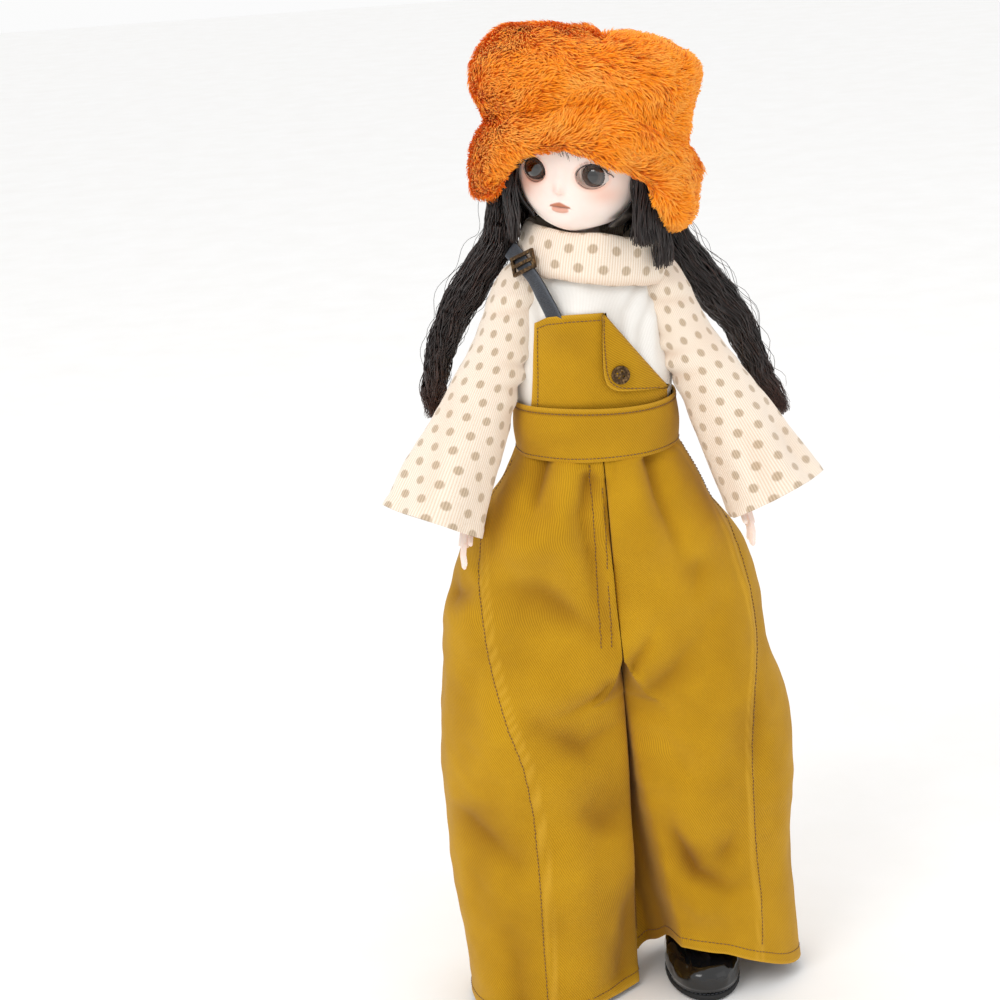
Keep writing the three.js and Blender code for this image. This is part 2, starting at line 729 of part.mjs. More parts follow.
function makeHead() {
  const shell = solidOf(headForm(0), head).subtract(solidOf(headForm(-headWall, 5, 10), head));
  const capBox = new THREE.BoxGeometry(2 * headWidth, headDepth, 2 * headHeight)
    .translate(0, headDepth / 2, 0)
    .rotateX(-capTilt * degree)
    .translate(0, capBack, headHeight / 2);
  const capRoom = new THREE.BoxGeometry(2 * headWidth, headDepth + fitGap, 2 * headHeight)
    .translate(0, (headDepth - fitGap) / 2, 0)
    .rotateX(-capTilt * degree)
    .translate(0, capBack, headHeight / 2);
  const neckMouth = solidOf(bar(
    [0, 0, -neckLength],
    [0, 0, 0],
    neckShaftRadius + neckLength * Math.tan(throatFlare * degree),
    ballSides,
    neckShaftRadius + socketGap,
  ), head);
  const skullSocket = solidOf(socket(skullBallRadius, 0, 0, 0, ballSides), head);
  const eyes = bothSides.map((side) => ball(eyeRadius, side * eyeHalfSpan, -eyeInset, eyeRise, ballSides));
  const wells = bothSides.map((side) => solidOf(
    ball(eyeRadius + fitGap, side * eyeHalfSpan, -eyeInset, eyeRise, ballSides),
    head,
  ));
  const openings = bothSides.map((side) => solidOf(
    new THREE.CylinderGeometry(eyeOpeningWidth / 2, eyeOpeningWidth / 2, headDepth / 2, 12)
      .scale(1, 1, eyeOpeningHeight / eyeOpeningWidth)
      .translate(side * eyeHalfSpan, -eyeInset - headDepth / 4, eyeRise),
    head,
  ));
  const front = headDepth / 2 + headForward;
  const nose = new THREE.SphereGeometry(noseSize / 2, 10, 8).scale(noseNarrowShare, 1, 1)
    .translate(0, -front + noseSize / 3, noseRise);
  const lips = new THREE.SphereGeometry(mouthWidth / 2, 12, 8)
    .scale(1, mouthHeight / mouthWidth, mouthHeight / mouthWidth)
    .translate(0, -front + mouthHeight, mouthRise);
  place('face_plate', cutBy(shell.add(solidOf(nose, head)).add(solidOf(lips, head)), [
    solidOf(capRoom, head), neckMouth, skullSocket, ...wells, ...openings,
  ]), resin, head);
  place('head_cap', cutBy(shell.intersect(solidOf(capBox, head)), [neckMouth, skullSocket]), resin, head);
  bothSides.forEach((side, i) => {
    const iris = new THREE.SphereGeometry(irisRadius, 14, 8).scale(1, irisBulge, 1)
      .translate(side * eyeHalfSpan, -eyeInset - eyeRadius + irisRadius * irisBulge / 2, eyeRise);
    place(sideName('eye', side), solidOf(eyes[i], head).add(solidOf(iris, head)), glass, head);
  });
  const shaft = bar([0, 0, neckHeight], [0, 0, headPivotHeight], neckShaftRadius, ballSides);
  place('neck', cutBy(joined([
    solidOf(ball(neckBallRadius, 0, 0, neckHeight, ballSides)),
    solidOf(shaft),
    solidOf(ball(skullBallRadius, 0, 0, headPivotHeight, ballSides)),
  ]), [legChannel]), resin);
  const ends = [-hookBarLength / 2, hookBarLength / 2].map((y) => [0, y, hookHeight]);
  place('neck_hook', solidOf(bar(...ends, hookBarRadius)), steel);
}

// Hair and hat, in the head's frame, but the bunches hang in the doll's
const wigOuter = (grow) => loft(
  { ...headSize, base: wigNapeRise, height: headHeight - chinDrop - wigNapeRise - wigCrownDrop },
  [[0, 0.7, 0.6, 0, 0.08], [0.18, 0.96, 0.86, 0, 0.05], [0.45, 1, 1], [0.72, 0.93, 0.94, 0, 0.01],
    [0.89, 0.69, 0.71, 0, 0.02], [1, 0.3, 0.3, 0, 0.02]],
  { grow: grow + wigThickness, rings: 7, sides: 16 },
).translate(0, -headForward, 0);
const hatOutlineShares = [
  [0, 0.9, 0.9], [0.14, 1, 1], [0.36, 0.96, 0.97], [0.46, 0.91, 0.95], [0.66, 0.93, 0.95],
  [0.86, 0.97, 0.78],
  [0.95, 0.94, 0.52], [1, 0.84, 0.26],
];
const hatInsideShares = [
  [0, 0.985, 0.985], [0.55, 1, 1], [0.8, 0.9, 0.92], [0.93, 0.72, 0.74], [1, 0.4, 0.4],
];
const lockOutlineShares = [
  [0, 0.2, 0.22, 0.95, 0.55], [0.12, 0.72, 0.62, 0.94, 0.55], [0.35, 1, 0.9, 0.9, 0.62],
  [0.6, 0.86, 1, 0.74, 0.72],
  [0.82, 0.62, 0.9, 0.53, 0.7], [1, 0.3, 0.6, 0.4, 0.55],
];

function makeHair() {
  const headRoom = solidOf(headForm(wigSeat, 6, 12), head);
  const outer = solidOf(wigOuter(0), head);
  const window = solidOf(new THREE.CylinderGeometry(faceWindowWidth / 2, faceWindowWidth / 2, headDepth, 16)
    .scale(1, 1, (2 * fringeRise) / faceWindowWidth)
    .translate(0, -headDepth / 2 - headForward, 0), head);
  const neckRoom = solidOf(bar([0, 0, -headHeight], [0, 0, chinDrop], headWidth / 4, 12), head);
  place('wig', cutBy(outer, [headRoom, window, neckRoom]), hairFinish, head);
  const lift = (angle, share) => earLift * share ** 3 * Math.abs(Math.cos(angle)) ** 2;
  const hatForm = (grow) => loft(
    { base: -chinDrop - hatDrop, height: hatHeight, width: hatWidth, depth: hatDepth },
    hatOutlineShares,
    { rings: 9, sides: 20, corner: 2.7, grow, lift },
  ).translate(0, -headForward, 0);
  const inside = loft(
    {
      base: -chinDrop - hatDrop - overrun,
      height: hatInsideHeight + overrun,
      width: headWidth + 2 * (wigThickness + hatSeat),
      depth: headDepth + 2 * (wigThickness + hatSeat),
    },
    hatInsideShares,
    { rings: 5, sides: 14 },
  ).translate(0, -headForward, 0);
  const mouth = solidOf(new THREE.CylinderGeometry(hatMouthWidth / 2, hatMouthWidth / 2, hatDepth, 16)
    .scale(1, 1, (2 * (hatMouthRise + chinDrop + hatDrop)) / hatMouthWidth)
    .translate(0, -hatDepth / 2 - headForward, -chinDrop - hatDrop), head);
  place('fur_hat', cutBy(solidOf(hatForm(0), head), [solidOf(inside, head), mouth]), fur, head);
  const wigRoom = solidOf(wigOuter(fitGap), head);
  const hatRoom = solidOf(hatForm(fitGap), head);
  for (const side of bothSides) {
    const lock = loft(
      {
        base: headPivotHeight + lockTopRise - lockLength,
        height: lockLength,
        width: lockWidth,
        depth: lockDepth,
        reach: side * lockReach,
      },
      lockOutlineShares,
      { rings: 7, sides: 10 },
    );
    place(
      sideName('hair_lock', side),
      cutBy(solidOf(lock), [wigRoom, hatRoom, sleeveRooms[side]]),
      hairFinish,
    );
  }
}

// Sweater
const sweaterOutlineShares = [
  [0, 0.95, 0.92], [0.3, 0.97, 0.95], [0.55, 1, 1], [0.75, 0.99, 0.96], [0.88, 0.86, 0.82],
  [0.96, 0.66, 0.7],
  [1, 0.54, 0.6],
];
const sweaterSize = {
  base: waistHeight - sweaterTuck, height: sweaterHeight, width: sweaterWidth, depth: sweaterDepth,
};
const sweaterSides = 16;
const sweaterForm = (grow) => loft(
  sweaterSize,
  sweaterOutlineShares,
  { grow, rings: 6, sides: sweaterSides },
);
const sweaterInside = () => loft(
  { ...sweaterSize, base: sweaterSize.base - overrun, height: sweaterHeight + 2 * overrun },
  sweaterOutlineShares,
  { grow: -knitThickness, ends: 0, rings: 5, sides: sweaterSides },
);
const sleeveOutlineShares = [
  [0, 0.97, 1, 0.32], [0.2, 0.84, 0.86, 0.24], [0.45, 0.67, 0.68, 0.145], [0.7, 0.53, 0.55, 0.04],
  [0.88, 0.5, 0.53, 0.01], [1, 0.28, 0.3, 0],
];
const sleevePleats = 4;
const sleeveFacets = { rings: 5, sides: 14 };
function sleeveForm(side, grow, facets) {
  const fold = (angle, share) => sleeveFold * (1 - share) ** 2 * (1 + Math.cos(sleevePleats * angle));
  const { open, ...counts } = facets;
  return loft(
    {
      base: -sleeveLength - (open ? overrun : 0),
      height: sleeveLength + sleeveTopRise + (open ? overrun - knitThickness : 0),
      width: sleeveWidth,
      depth: sleeveDepth,
      reach: side * sleeveWidth,
    },
    sleeveOutlineShares,
    { grow, ends: open ? 0 : grow, ...counts, fold: open ? undefined : fold },
  );
}
const sleeveRooms = {};
const collarSize = {
  base: neckHeight - collarHeight / 3, height: collarHeight, width: collarWidth, depth: collarDepth,
};
const collarShares = [[0, 1, 1], [0.3, 1.02, 1.02], [0.7, 0.96, 0.95], [1, 0.84, 0.82]];
const lean = (geometry) => geometry.translate(0, 0, -neckHeight).rotateY(collarLean * degree)
  .translate(0, 0, neckHeight);
const collarForm = (grow) => lean(loft(collarSize, collarShares, { grow, rings: 3, sides: sweaterSides }));

function makeSweater() {
  const chestRoom = solidOf(chestForm(fitGap));
  for (const side of bothSides) {
    const frame = arms[side];
    const outer = solidOf(sleeveForm(side, 0, sleeveFacets), frame);
    const inner = solidOf(sleeveForm(side, -knitThickness, { ...sleeveFacets, open: true }), frame);
    const armhole = solidOf(new THREE.CylinderGeometry(
      shoulderRadius + fitGap,
      shoulderRadius + fitGap,
      shoulderHalfSpan,
      ballSides,
    ).rotateZ(Math.PI / 2).translate((side * shoulderHalfSpan) / 2, 0, shoulderHeight));
    sleeveRooms[side] = solidOf(sleeveForm(side, fitGap, sleeveFacets), frame);
    place(sideName('sleeve', side), cutBy(outer, [inner, chestRoom, armhole]), knit, frame);
  }
  place('sweater_body', cutBy(solidOf(sweaterForm(0)), [
    solidOf(sweaterInside()), ...bothSides.map((side) => sleeveRooms[side]),
  ]), jersey);
  const collarInside = lean(loft(
    { ...collarSize, base: collarSize.base - overrun, height: collarHeight + 2 * overrun },
    [[0, 0.86, 0.84], [0.5, 0.8, 0.78], [1, 0.74, 0.7]],
    { rings: 2, sides: 14 },
  ));
  place('sweater_collar', cutBy(solidOf(collarForm(0)), [
    solidOf(collarInside), solidOf(sweaterForm(fitGap)), ...bothSides.map((side) => sleeveRooms[side]),
    solidOf(headForm(fitGap, 6, 12), head),
  ]), knit);
}

// The strap comes out from behind the bib, runs over the right shoulder and down to the middle of the back.
function strapRoute() {
  const pointShares = [
    [-0.24, -0.46, 0.62], [-0.34, -0.42, 0.83], [-0.48, -0.3, 0.97], [-0.53, -0.02, 1.02],
    [-0.46, 0.25, 0.94], [-0.33, 0.38, 0.8], [-0.16, 0.48, 0.5], [0.02, 0.47, 0.28],
  ];
  return pointShares.map(([side, back, rise]) => new THREE.Vector3(
    side * sweaterWidth,
    back * sweaterDepth,
    sweaterSize.base + rise * sweaterHeight,
  ));
}

// Dungarees
const waistbandShares = [[0, 0.99, 1], [1, 0.97, 0.97]];
const hipClothShares = [
  [0, 0.14, 0.3], [0.1, 0.4, 0.5], [0.19, 0.6, 0.66], [0.31, 0.86, 0.86], [0.55, 0.83, 0.97],
  [0.79, 0.635, 0.95], [0.93, 0.55, 0.87], [1, 0.475, 0.81],
];
const legShapes = {
  [rightSide]: {
    hemRise: coveringHemRise,
    hemSlope: 0,
    shares: [
      [0, 0.85, 1.04, 0.01, -0.07], [0.2, 0.94, 0.96, 0, -0.03], [0.5, 0.99, 0.9],
      [0.76, 0.97, 0.9, -0.04], [0.9, 0.85, 0.88, -0.09], [1, 0.7, 0.76, -0.15],
    ],
  },
  [leftSide]: {
    hemRise: raisedHemRise,
    hemSlope: raisedHemSlope,
    shares: [
      [0, 0.92, 0.84, 0, 0.05], [0.2, 0.9, 0.84, 0, 0.03], [0.5, 0.86, 0.86, -0.02],
      [0.74, 0.94, 0.9, -0.05], [0.89, 0.85, 0.88, -0.09], [1, 0.7, 0.76, -0.15],
    ],
  },
};
const legPleats = 6;
const hipPleats = 8;

function makeDungarees() {
  const sweaterRoom = solidOf(sweaterForm(fitGap));
  const bandSize = {
    base: waistbandBase, height: waistbandHeight, width: waistbandWidth, depth: waistbandDepth,
  };
  const bandForm = (grow) => loft(bandSize, waistbandShares, { grow, rings: 1, sides: sweaterSides });
  place('waistband', solidOf(bandForm(0)).subtract(sweaterRoom), twill);
  const hipBase = waistbandBase - fitGap - hipClothHeight;
  const hipSize = { base: hipBase, height: hipClothHeight, width: hipClothWidth, depth: hipClothDepth };
  const hipFold = (angle, share) => (
    (trouserFold / 2) * Math.sin(Math.PI * share) * (1 + Math.cos(hipPleats * angle))
  );
  const hips = solidOf(loft(hipSize, hipClothShares, { rings: 6, sides: 24, fold: hipFold }));
  const hipsInside = solidOf(loft(
    { ...hipSize, base: hipBase + overrun, height: hipClothHeight },
    hipClothShares,
    { rings: 6, sides: 12, grow: -twillThickness, ends: 0 },
  ));
  const outers = [hips];
  const inners = [hipsInside];
  for (const side of bothSides) {
    const { hemRise, hemSlope, shares } = legShapes[side];
    const size = {
      base: hemRise,
      height: trouserLegTop - hemRise,
      width: trouserLegWidth,
      depth: trouserLegDepth,
      reach: side * trouserLegWidth,
    };
    const phase = side > 0 ? Math.PI : 0;
    const fold = (angle, share) => (
      (trouserFold / 2) * (2 - share) * (1 + Math.cos(legPleats * angle + phase + Math.PI * share))
    );
    const lift = (angle, share) => (
      (-hemSlope / 2) * (1 - share) ** 4 * (1 + Math.cos(angle - hemSlopeTurn * degree))
    );
    outers.push(solidOf(loft(size, shares, { rings: 8, sides: 18, fold, lift })
      .translate(side * trouserLegHalfSpan, 0, 0)));
    inners.push(solidOf(loft(
      { ...size, base: hemRise - overrun },
      shares,
      { rings: 5, sides: 12, grow: -twillThickness, ends: 0, lift },
    ).translate(side * trouserLegHalfSpan, 0, 0)));
  }
  const crotch = solidOf(new THREE.BoxGeometry(2 * fitGap, 2 * hipClothDepth, 2 * crotchHeight));
  const rightLeg = outers[1].subtract(crotch);
  const leftLeg = outers[2].subtract(crotch);
  place('trousers', cutBy(joined([hips, rightLeg, leftLeg]), [joined(inners), sweaterRoom]), twill);

  const front = (points, depth) => new THREE.ExtrudeGeometry(
    new THREE.Shape(points.map(([x, z]) => new THREE.Vector2(x, z))),
    { depth, bevelEnabled: false },
  ).rotateX(Math.PI / 2).translate(0, 0, waistbandTop + fitGap);
  const layer = (from, thickness) => (
    solidOf(sweaterForm(from + thickness)).subtract(solidOf(sweaterForm(from)))
  );
  const bibPoints = [
    [-bibHalfWidth, 0], [bibHalfWidth, 0], [bibHalfWidth, lapelBase], [lapelFold, bibHeight],
    [-bibCornerWidth, bibHeight - bibSlope],
  ];
  const bib = layer(fitGap, bibCloth).intersect(solidOf(front(bibPoints, sweaterDepth)));
  place('bib', bib, twill);
  const lapelPoints = [
    [lapelFold, bibHeight],
    [bibHalfWidth, lapelBase],
    [lapelFold + bibSlope, bibHeight - lapelDrop + bibSlope],
    [lapelFold, bibHeight - lapelDrop + 2 * bibSlope],
  ];
  const lapelFrom = 2 * fitGap + bibCloth;
  const lapel = solidOf(front(lapelPoints, sweaterDepth));
  place('bib_lapel', layer(lapelFrom, bibCloth).intersect(lapel), twill);

  const buttonProfile = [
    [0, 0], [buttonRadius, 0], [buttonRadius, buttonThickness], [buttonRadius - buttonRim, buttonThickness],
    [buttonRadius - 2 * buttonRim, buttonThickness - buttonDish], [0, buttonThickness - buttonDish],
  ].map(([radius, rise]) => new THREE.Vector2(radius, rise));
  const holes = [-1, 1].flatMap((x) => [-1, 1].map((y) => solidOf(
    new THREE.CylinderGeometry(buttonHoleRadius, buttonHoleRadius, 2 * buttonThickness + overrun, 6)
      .translate((x * buttonHoleSpacing) / 2, 0, (y * buttonHoleSpacing) / 2),
  )));
  const buttonFrame = frameAt(doll, buttonSide, -buttonSeat, waistbandTop + buttonRise);
  buttonFrame.rotation.set(Math.PI, buttonTurn * degree, 0);
  buttonFrame.updateMatrixWorld(true);
  const button = cutBy(solidOf(new THREE.LatheGeometry(buttonProfile, 18)), holes);
  place('bib_button', solidOf(geometryOf(button), buttonFrame), bronze, buttonFrame);

  const strapPath = new THREE.CatmullRomCurve3(strapRoute());
  const section = new THREE.Shape([
    [-1, -1], [1, -1], [1, 1], [-1, 1],
  ].map(([a, b]) => new THREE.Vector2((a * strapWidth) / 2, b * strapReach)));
  const ribbon = solidOf(new THREE.ExtrudeGeometry(section, {
    steps: 14, extrudePath: strapPath, bevelEnabled: false,
  }));
  const skin = (grow) => joined([
    solidOf(sweaterForm(grow)),
    solidOf(collarForm(grow)),
    ...bothSides.map((side) => solidOf(sleeveForm(side, grow, sleeveFacets), arms[side])),
  ]);
  const strapLayer = skin(fitGap + strapThickness).subtract(skin(fitGap));
  const bandRoom = solidOf(bandForm(fitGap));
  const bibRoom = solidOf(front(bibPoints, sweaterDepth).translate(0, 0, fitGap));
  place('strap', cutBy(strapLayer.intersect(ribbon), [bandRoom, bibRoom]), leather);

  const buckleFrame = frameAt(doll, -buckleSide, -buckleForward, neckHeight + buckleRise);
  buckleFrame.rotation.set(-buckleTilt * degree, buckleRoll * degree, -buckleAzimuth * degree, 'ZXY');
  buckleFrame.updateMatrixWorld(true);
  const slotLength = (buckleLength - 3 * buckleBar) / 2;
  const slots = [-1, 1].map((way) => solidOf(
    new THREE.BoxGeometry(buckleWidth - 2 * buckleBar, 2 * buckleThickness, slotLength)
      .translate(0, 0, (way * (slotLength + buckleBar)) / 2),
    buckleFrame,
  ));
  const plate = solidOf(new THREE.BoxGeometry(buckleWidth, buckleThickness, buckleLength), buckleFrame);
  place('strap_buckle', cutBy(plate, slots), bronze, buckleFrame);
}

makeTorso();
bothSides.forEach(makeLeg);
bothSides.forEach(makeArm);
makeHead();
makeSweater();
makeHair();
makeDungarees();
place('elastic_legs', legString(elasticRadius), elastic);
place('elastic_arms', armString(elasticRadius), elastic);

// The middle of the doll's outline stands over the origin.
const extent = new THREE.Box3().setFromObject(doll, true);
const middle = extent.getCenter(new THREE.Vector3());
doll.position.set(-middle.x, -middle.y, -extent.min.z);

export default doll;
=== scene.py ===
"""Ball jointed doll in a plush hat, a dotted sweater and wide dungarees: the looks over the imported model.

Lengths in the making functions are millimetres in the doll's own frame: +Z up, the doll faces -Y, and its
right side is -X. place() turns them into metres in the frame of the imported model.
"""

import math

import bmesh
import bpy
import numpy as np
from mathutils import Matrix, Vector


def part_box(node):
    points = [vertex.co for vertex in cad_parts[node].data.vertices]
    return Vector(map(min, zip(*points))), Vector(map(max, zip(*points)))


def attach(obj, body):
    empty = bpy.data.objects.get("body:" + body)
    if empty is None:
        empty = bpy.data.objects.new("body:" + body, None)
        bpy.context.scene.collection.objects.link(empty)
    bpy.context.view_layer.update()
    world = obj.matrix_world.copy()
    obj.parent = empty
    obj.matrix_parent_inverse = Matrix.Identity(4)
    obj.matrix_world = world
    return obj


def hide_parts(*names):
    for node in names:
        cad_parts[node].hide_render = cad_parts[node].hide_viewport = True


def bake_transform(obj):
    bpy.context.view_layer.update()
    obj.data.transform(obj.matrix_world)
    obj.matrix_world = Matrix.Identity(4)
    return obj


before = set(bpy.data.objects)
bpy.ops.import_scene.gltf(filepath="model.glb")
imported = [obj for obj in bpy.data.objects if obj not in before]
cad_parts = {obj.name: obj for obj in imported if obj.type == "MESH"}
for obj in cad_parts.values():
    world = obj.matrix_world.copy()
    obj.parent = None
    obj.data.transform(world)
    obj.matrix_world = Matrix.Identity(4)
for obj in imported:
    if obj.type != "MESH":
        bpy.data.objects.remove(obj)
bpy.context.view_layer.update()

MM = 0.001
waist_low, waist_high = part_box("waist_ball")
AXIS = np.array([(waist_low.x + waist_high.x) / 2, (waist_low.y + waist_high.y) / 2, 0.0])
TAU = 2 * math.pi
SIDES = ((-1, "right"), (1, "left"))


def place(points):
    """From mm in the doll's frame to metres in the model's."""
    return np.asarray(points, float) * MM + AXIS


# Camera
def make_camera():
    """Stands where the photograph was taken from, as fitted to the outlines in it."""
    azimuth, reach, height = math.radians(-5), 720.0, 380.0
    pitch, aim, roll = math.radians(16.5), math.radians(2.5), math.radians(-3.9)
    focal_px, frame_px = 2380.0, 1000.0
    stand = np.array([math.sin(azimuth) * reach, -math.cos(azimuth) * reach, height])
    heading = math.atan2(-stand[1], -stand[0]) + aim
    ahead = np.array([
        math.cos(heading) * math.cos(pitch), math.sin(heading) * math.cos(pitch), -math.sin(pitch),
    ])
    right = np.cross(ahead, [0, 0, 1])
    right /= np.linalg.norm(right)
    up = np.cross(right, ahead)
    side = right * math.cos(roll) + up * math.sin(roll)
    top = up * math.cos(roll) - right * math.sin(roll)
    turned = Matrix([list(side), list(top), list(-ahead)]).transposed().to_4x4()
    data = bpy.data.cameras.new("camera")
    data.sensor_width = 36
    data.lens = focal_px / frame_px * data.sensor_width
    data.clip_start = 0.01
    data.clip_end = 20
    camera = bpy.data.objects.new("camera", data)
    camera.matrix_world = Matrix.Translation(Vector(place(stand))) @ turned
    bpy.context.scene.collection.objects.link(camera)
    bpy.context.scene.camera = camera


make_camera()


# Curves and noise
def curve(xs, ys, x):
    """A smooth line through (xs, ys), without overshoot, read at x."""
    xs, ys, x = np.asarray(xs, float), np.asarray(ys, float), np.asarray(x, float)
    flat = ys.ndim == 1
    if flat:
        ys = ys[:, None]
    step = np.diff(xs)
    slope = np.diff(ys, axis=0) / step[:, None]
    tangent = np.zeros_like(ys)
    tangent[0], tangent[-1] = slope[0], slope[-1]
    before, after = slope[:-1], slope[1:]
    same = before * after > 0
    mean = np.where(same, 2 * before * after / np.where(same, before + after, 1), 0)
    tangent[1:-1] = mean
    i = np.clip(np.searchsorted(xs, x, side="right") - 1, 0, len(xs) - 2)
    t = np.clip((x - xs[i]) / step[i], 0, 1)[..., None]
    h = step[i][..., None]
    out = (
        (2 * t**3 - 3 * t**2 + 1) * ys[i] + (t**3 - 2 * t**2 + t) * h * tangent[i]
        + (3 * t**2 - 2 * t**3) * ys[i + 1] + (t**3 - t**2) * h * tangent[i + 1]
    )
    return out[..., 0] if flat else out


def smoothstep(low, high, x):
    t = np.clip((np.asarray(x, float) - low) / (high - low), 0, 1)
    return t * t * (3 - 2 * t)


def lattice(ix, iy, iz, seed):
    n = (ix * 374761393 + iy * 668265263 + iz * 2147483647 + seed * 1274126177) & 0xFFFFFFFF
    n = ((n ^ (n >> 13)) * 1274126177) & 0xFFFFFFFF
    return ((n ^ (n >> 16)) & 0xFFFFFF) / 0x7FFFFF - 1


def value_noise(points, size, seed=0):
    """Smooth noise from -1 to 1 with features of about that size, at points in mm."""
    p = np.asarray(points, float) / size
    base = np.floor(p).astype(np.int64)
    f = p - base
    f = f * f * (3 - 2 * f)
    total = 0
    for corner in range(8):
        offset = np.array([corner & 1, corner >> 1 & 1, corner >> 2 & 1])
        i = base + offset
        weight = np.prod(np.where(offset == 1, f, 1 - f), axis=-1)
        total = total + weight * lattice(i[..., 0], i[..., 1], i[..., 2], seed)
    return total


def unit(v):
    return v / np.maximum(np.linalg.norm(v, axis=-1, keepdims=True), 1e-9)


def run_along(path):
    """How far along the path each of its points is."""
    return np.concatenate([[0], np.cumsum(np.linalg.norm(np.diff(path, axis=0), axis=1))])


def rounded(value, power):
    """A sine or cosine for an oval that is squarer the higher the power."""
    return np.sign(value) * np.abs(value) ** (2 / power)


def turn_about(axis, degrees):
    c, s = math.cos(math.radians(degrees)), math.sin(math.radians(degrees))
    if axis == "x":
        return np.array([[1, 0, 0], [0, c, -s], [0, s, c]])
    if axis == "y":
        return np.array([[c, 0, s], [0, 1, 0], [-s, 0, c]])
    return np.array([[c, -s, 0], [s, c, 0], [0, 0, 1]])


def distance_to_line(x, z, line):
    """Distance from (x, z) to a polyline of (x, z) points, and the share of the line that is nearest."""
    line = np.asarray(line, float)
    starts, ways = line[:-1], np.diff(line, axis=0)
    lengths = np.linalg.norm(ways, axis=1)
    run = np.concatenate([[0], np.cumsum(lengths)])
    best = np.full(np.shape(x), 1e9)
    share = np.zeros(np.shape(x))
    for start, way, length, at in zip(starts, ways, lengths, run):
        t = np.clip(((x - start[0]) * way[0] + (z - start[1]) * way[1]) / length**2, 0, 1)
        d = np.hypot(x - start[0] - t * way[0], z - start[1] - t * way[1])
        nearer = d < best
        best = np.where(nearer, d, best)
        share = np.where(nearer, (at + t * length) / run[-1], share)
    return best, share


# Meshes
def mesh_object(name, points, faces, uv=None, normals=None, materials=(), values=None):
    """faces is a list of arrays of point numbers, a row for each face. uv has a row for each face corner."""
    faces = [np.asarray(f, np.int32) for f in faces if len(f)]
    corners = np.concatenate([f.ravel() for f in faces])
    totals = np.concatenate([np.full(len(f), f.shape[1], np.int32) for f in faces])
    starts = np.concatenate([[0], np.cumsum(totals)[:-1]]).astype(np.int32)
    mesh = bpy.data.meshes.new(name)
    mesh.vertices.add(len(points))
    mesh.vertices.foreach_set("co", place(points).astype(np.float32).ravel())
    mesh.loops.add(len(corners))
    mesh.loops.foreach_set("vertex_index", corners)
    mesh.polygons.add(len(starts))
    mesh.polygons.foreach_set("loop_start", starts)
    mesh.update(calc_edges=True)
    mesh.polygons.foreach_set("use_smooth", np.ones(len(starts), bool))
    if uv is not None:
        layer = mesh.uv_layers.new(name="uv")
        layer.data.foreach_set("uv", np.asarray(uv, np.float32).ravel())
    for key, value in (values or {}).items():
        attribute = mesh.attributes.new(key, "FLOAT", "POINT")
        attribute.data.foreach_set("value", np.asarray(value, np.float32).ravel())
    if normals is not None:
        mesh.normals_split_custom_set_from_vertices(unit(np.asarray(normals, float)).tolist())
    for item in materials:
        mesh.materials.append(item)
    made = bpy.data.objects.new(name, mesh)
    bpy.context.scene.collection.objects.link(made)
    return made


def grid_faces(rows, columns, wrap=False):
    """The faces of a grid of points, and the same corners where the grid isn't joined round."""
    r = np.arange(rows - 1)[:, None]
    c = np.arange(columns if wrap else columns - 1)[None, :]
    a, b = r * columns + c, r * columns + (c + 1) % columns
    wide = columns + 1 if wrap else columns
    a2 = r * wide + c
    quads = np.stack([a, b, b + columns, a + columns], -1).reshape(-1, 4)
    open_quads = np.stack([a2, a2 + 1, a2 + 1 + wide, a2 + wide], -1).reshape(-1, 4)
    return quads, open_quads


def end_caps(rows, columns):
    """The faces that close a wrapped grid at its first and at its last row."""
    first = np.arange(columns)
    return first[::-1][None], (first + (rows - 1) * columns)[None]


def grid_normals(points, wrap=False):
    """Columns run counterclockwise and rows upwards, seen from outside."""
    if wrap:
        across = np.roll(points, -1, axis=1) - np.roll(points, 1, axis=1)
    else:
        across = np.gradient(points, axis=1)
    along = np.gradient(points, axis=0)
    return unit(np.cross(across, along))


def grid_uv(points, wrap=False):
    """Flat coordinates in mm: round the middle row, and along the middle column."""
    closed = np.concatenate([points, points[:, :1]], axis=1) if wrap else points
    rows, columns = closed.shape[:2]
    round_steps = np.linalg.norm(np.diff(closed, axis=1), axis=-1)
    mean_round = round_steps[rows // 3: max(rows // 3 + 1, 2 * rows // 3)].mean(0)
    u = np.concatenate([[0], np.cumsum(mean_round)])
    u = u - u[columns // 2]
    up_steps = np.linalg.norm(np.diff(closed, axis=0), axis=-1).mean(1)
    v = np.concatenate([[0], np.cumsum(up_steps)])
    return np.stack(np.broadcast_arrays(u[None, :], v[:, None]), -1)


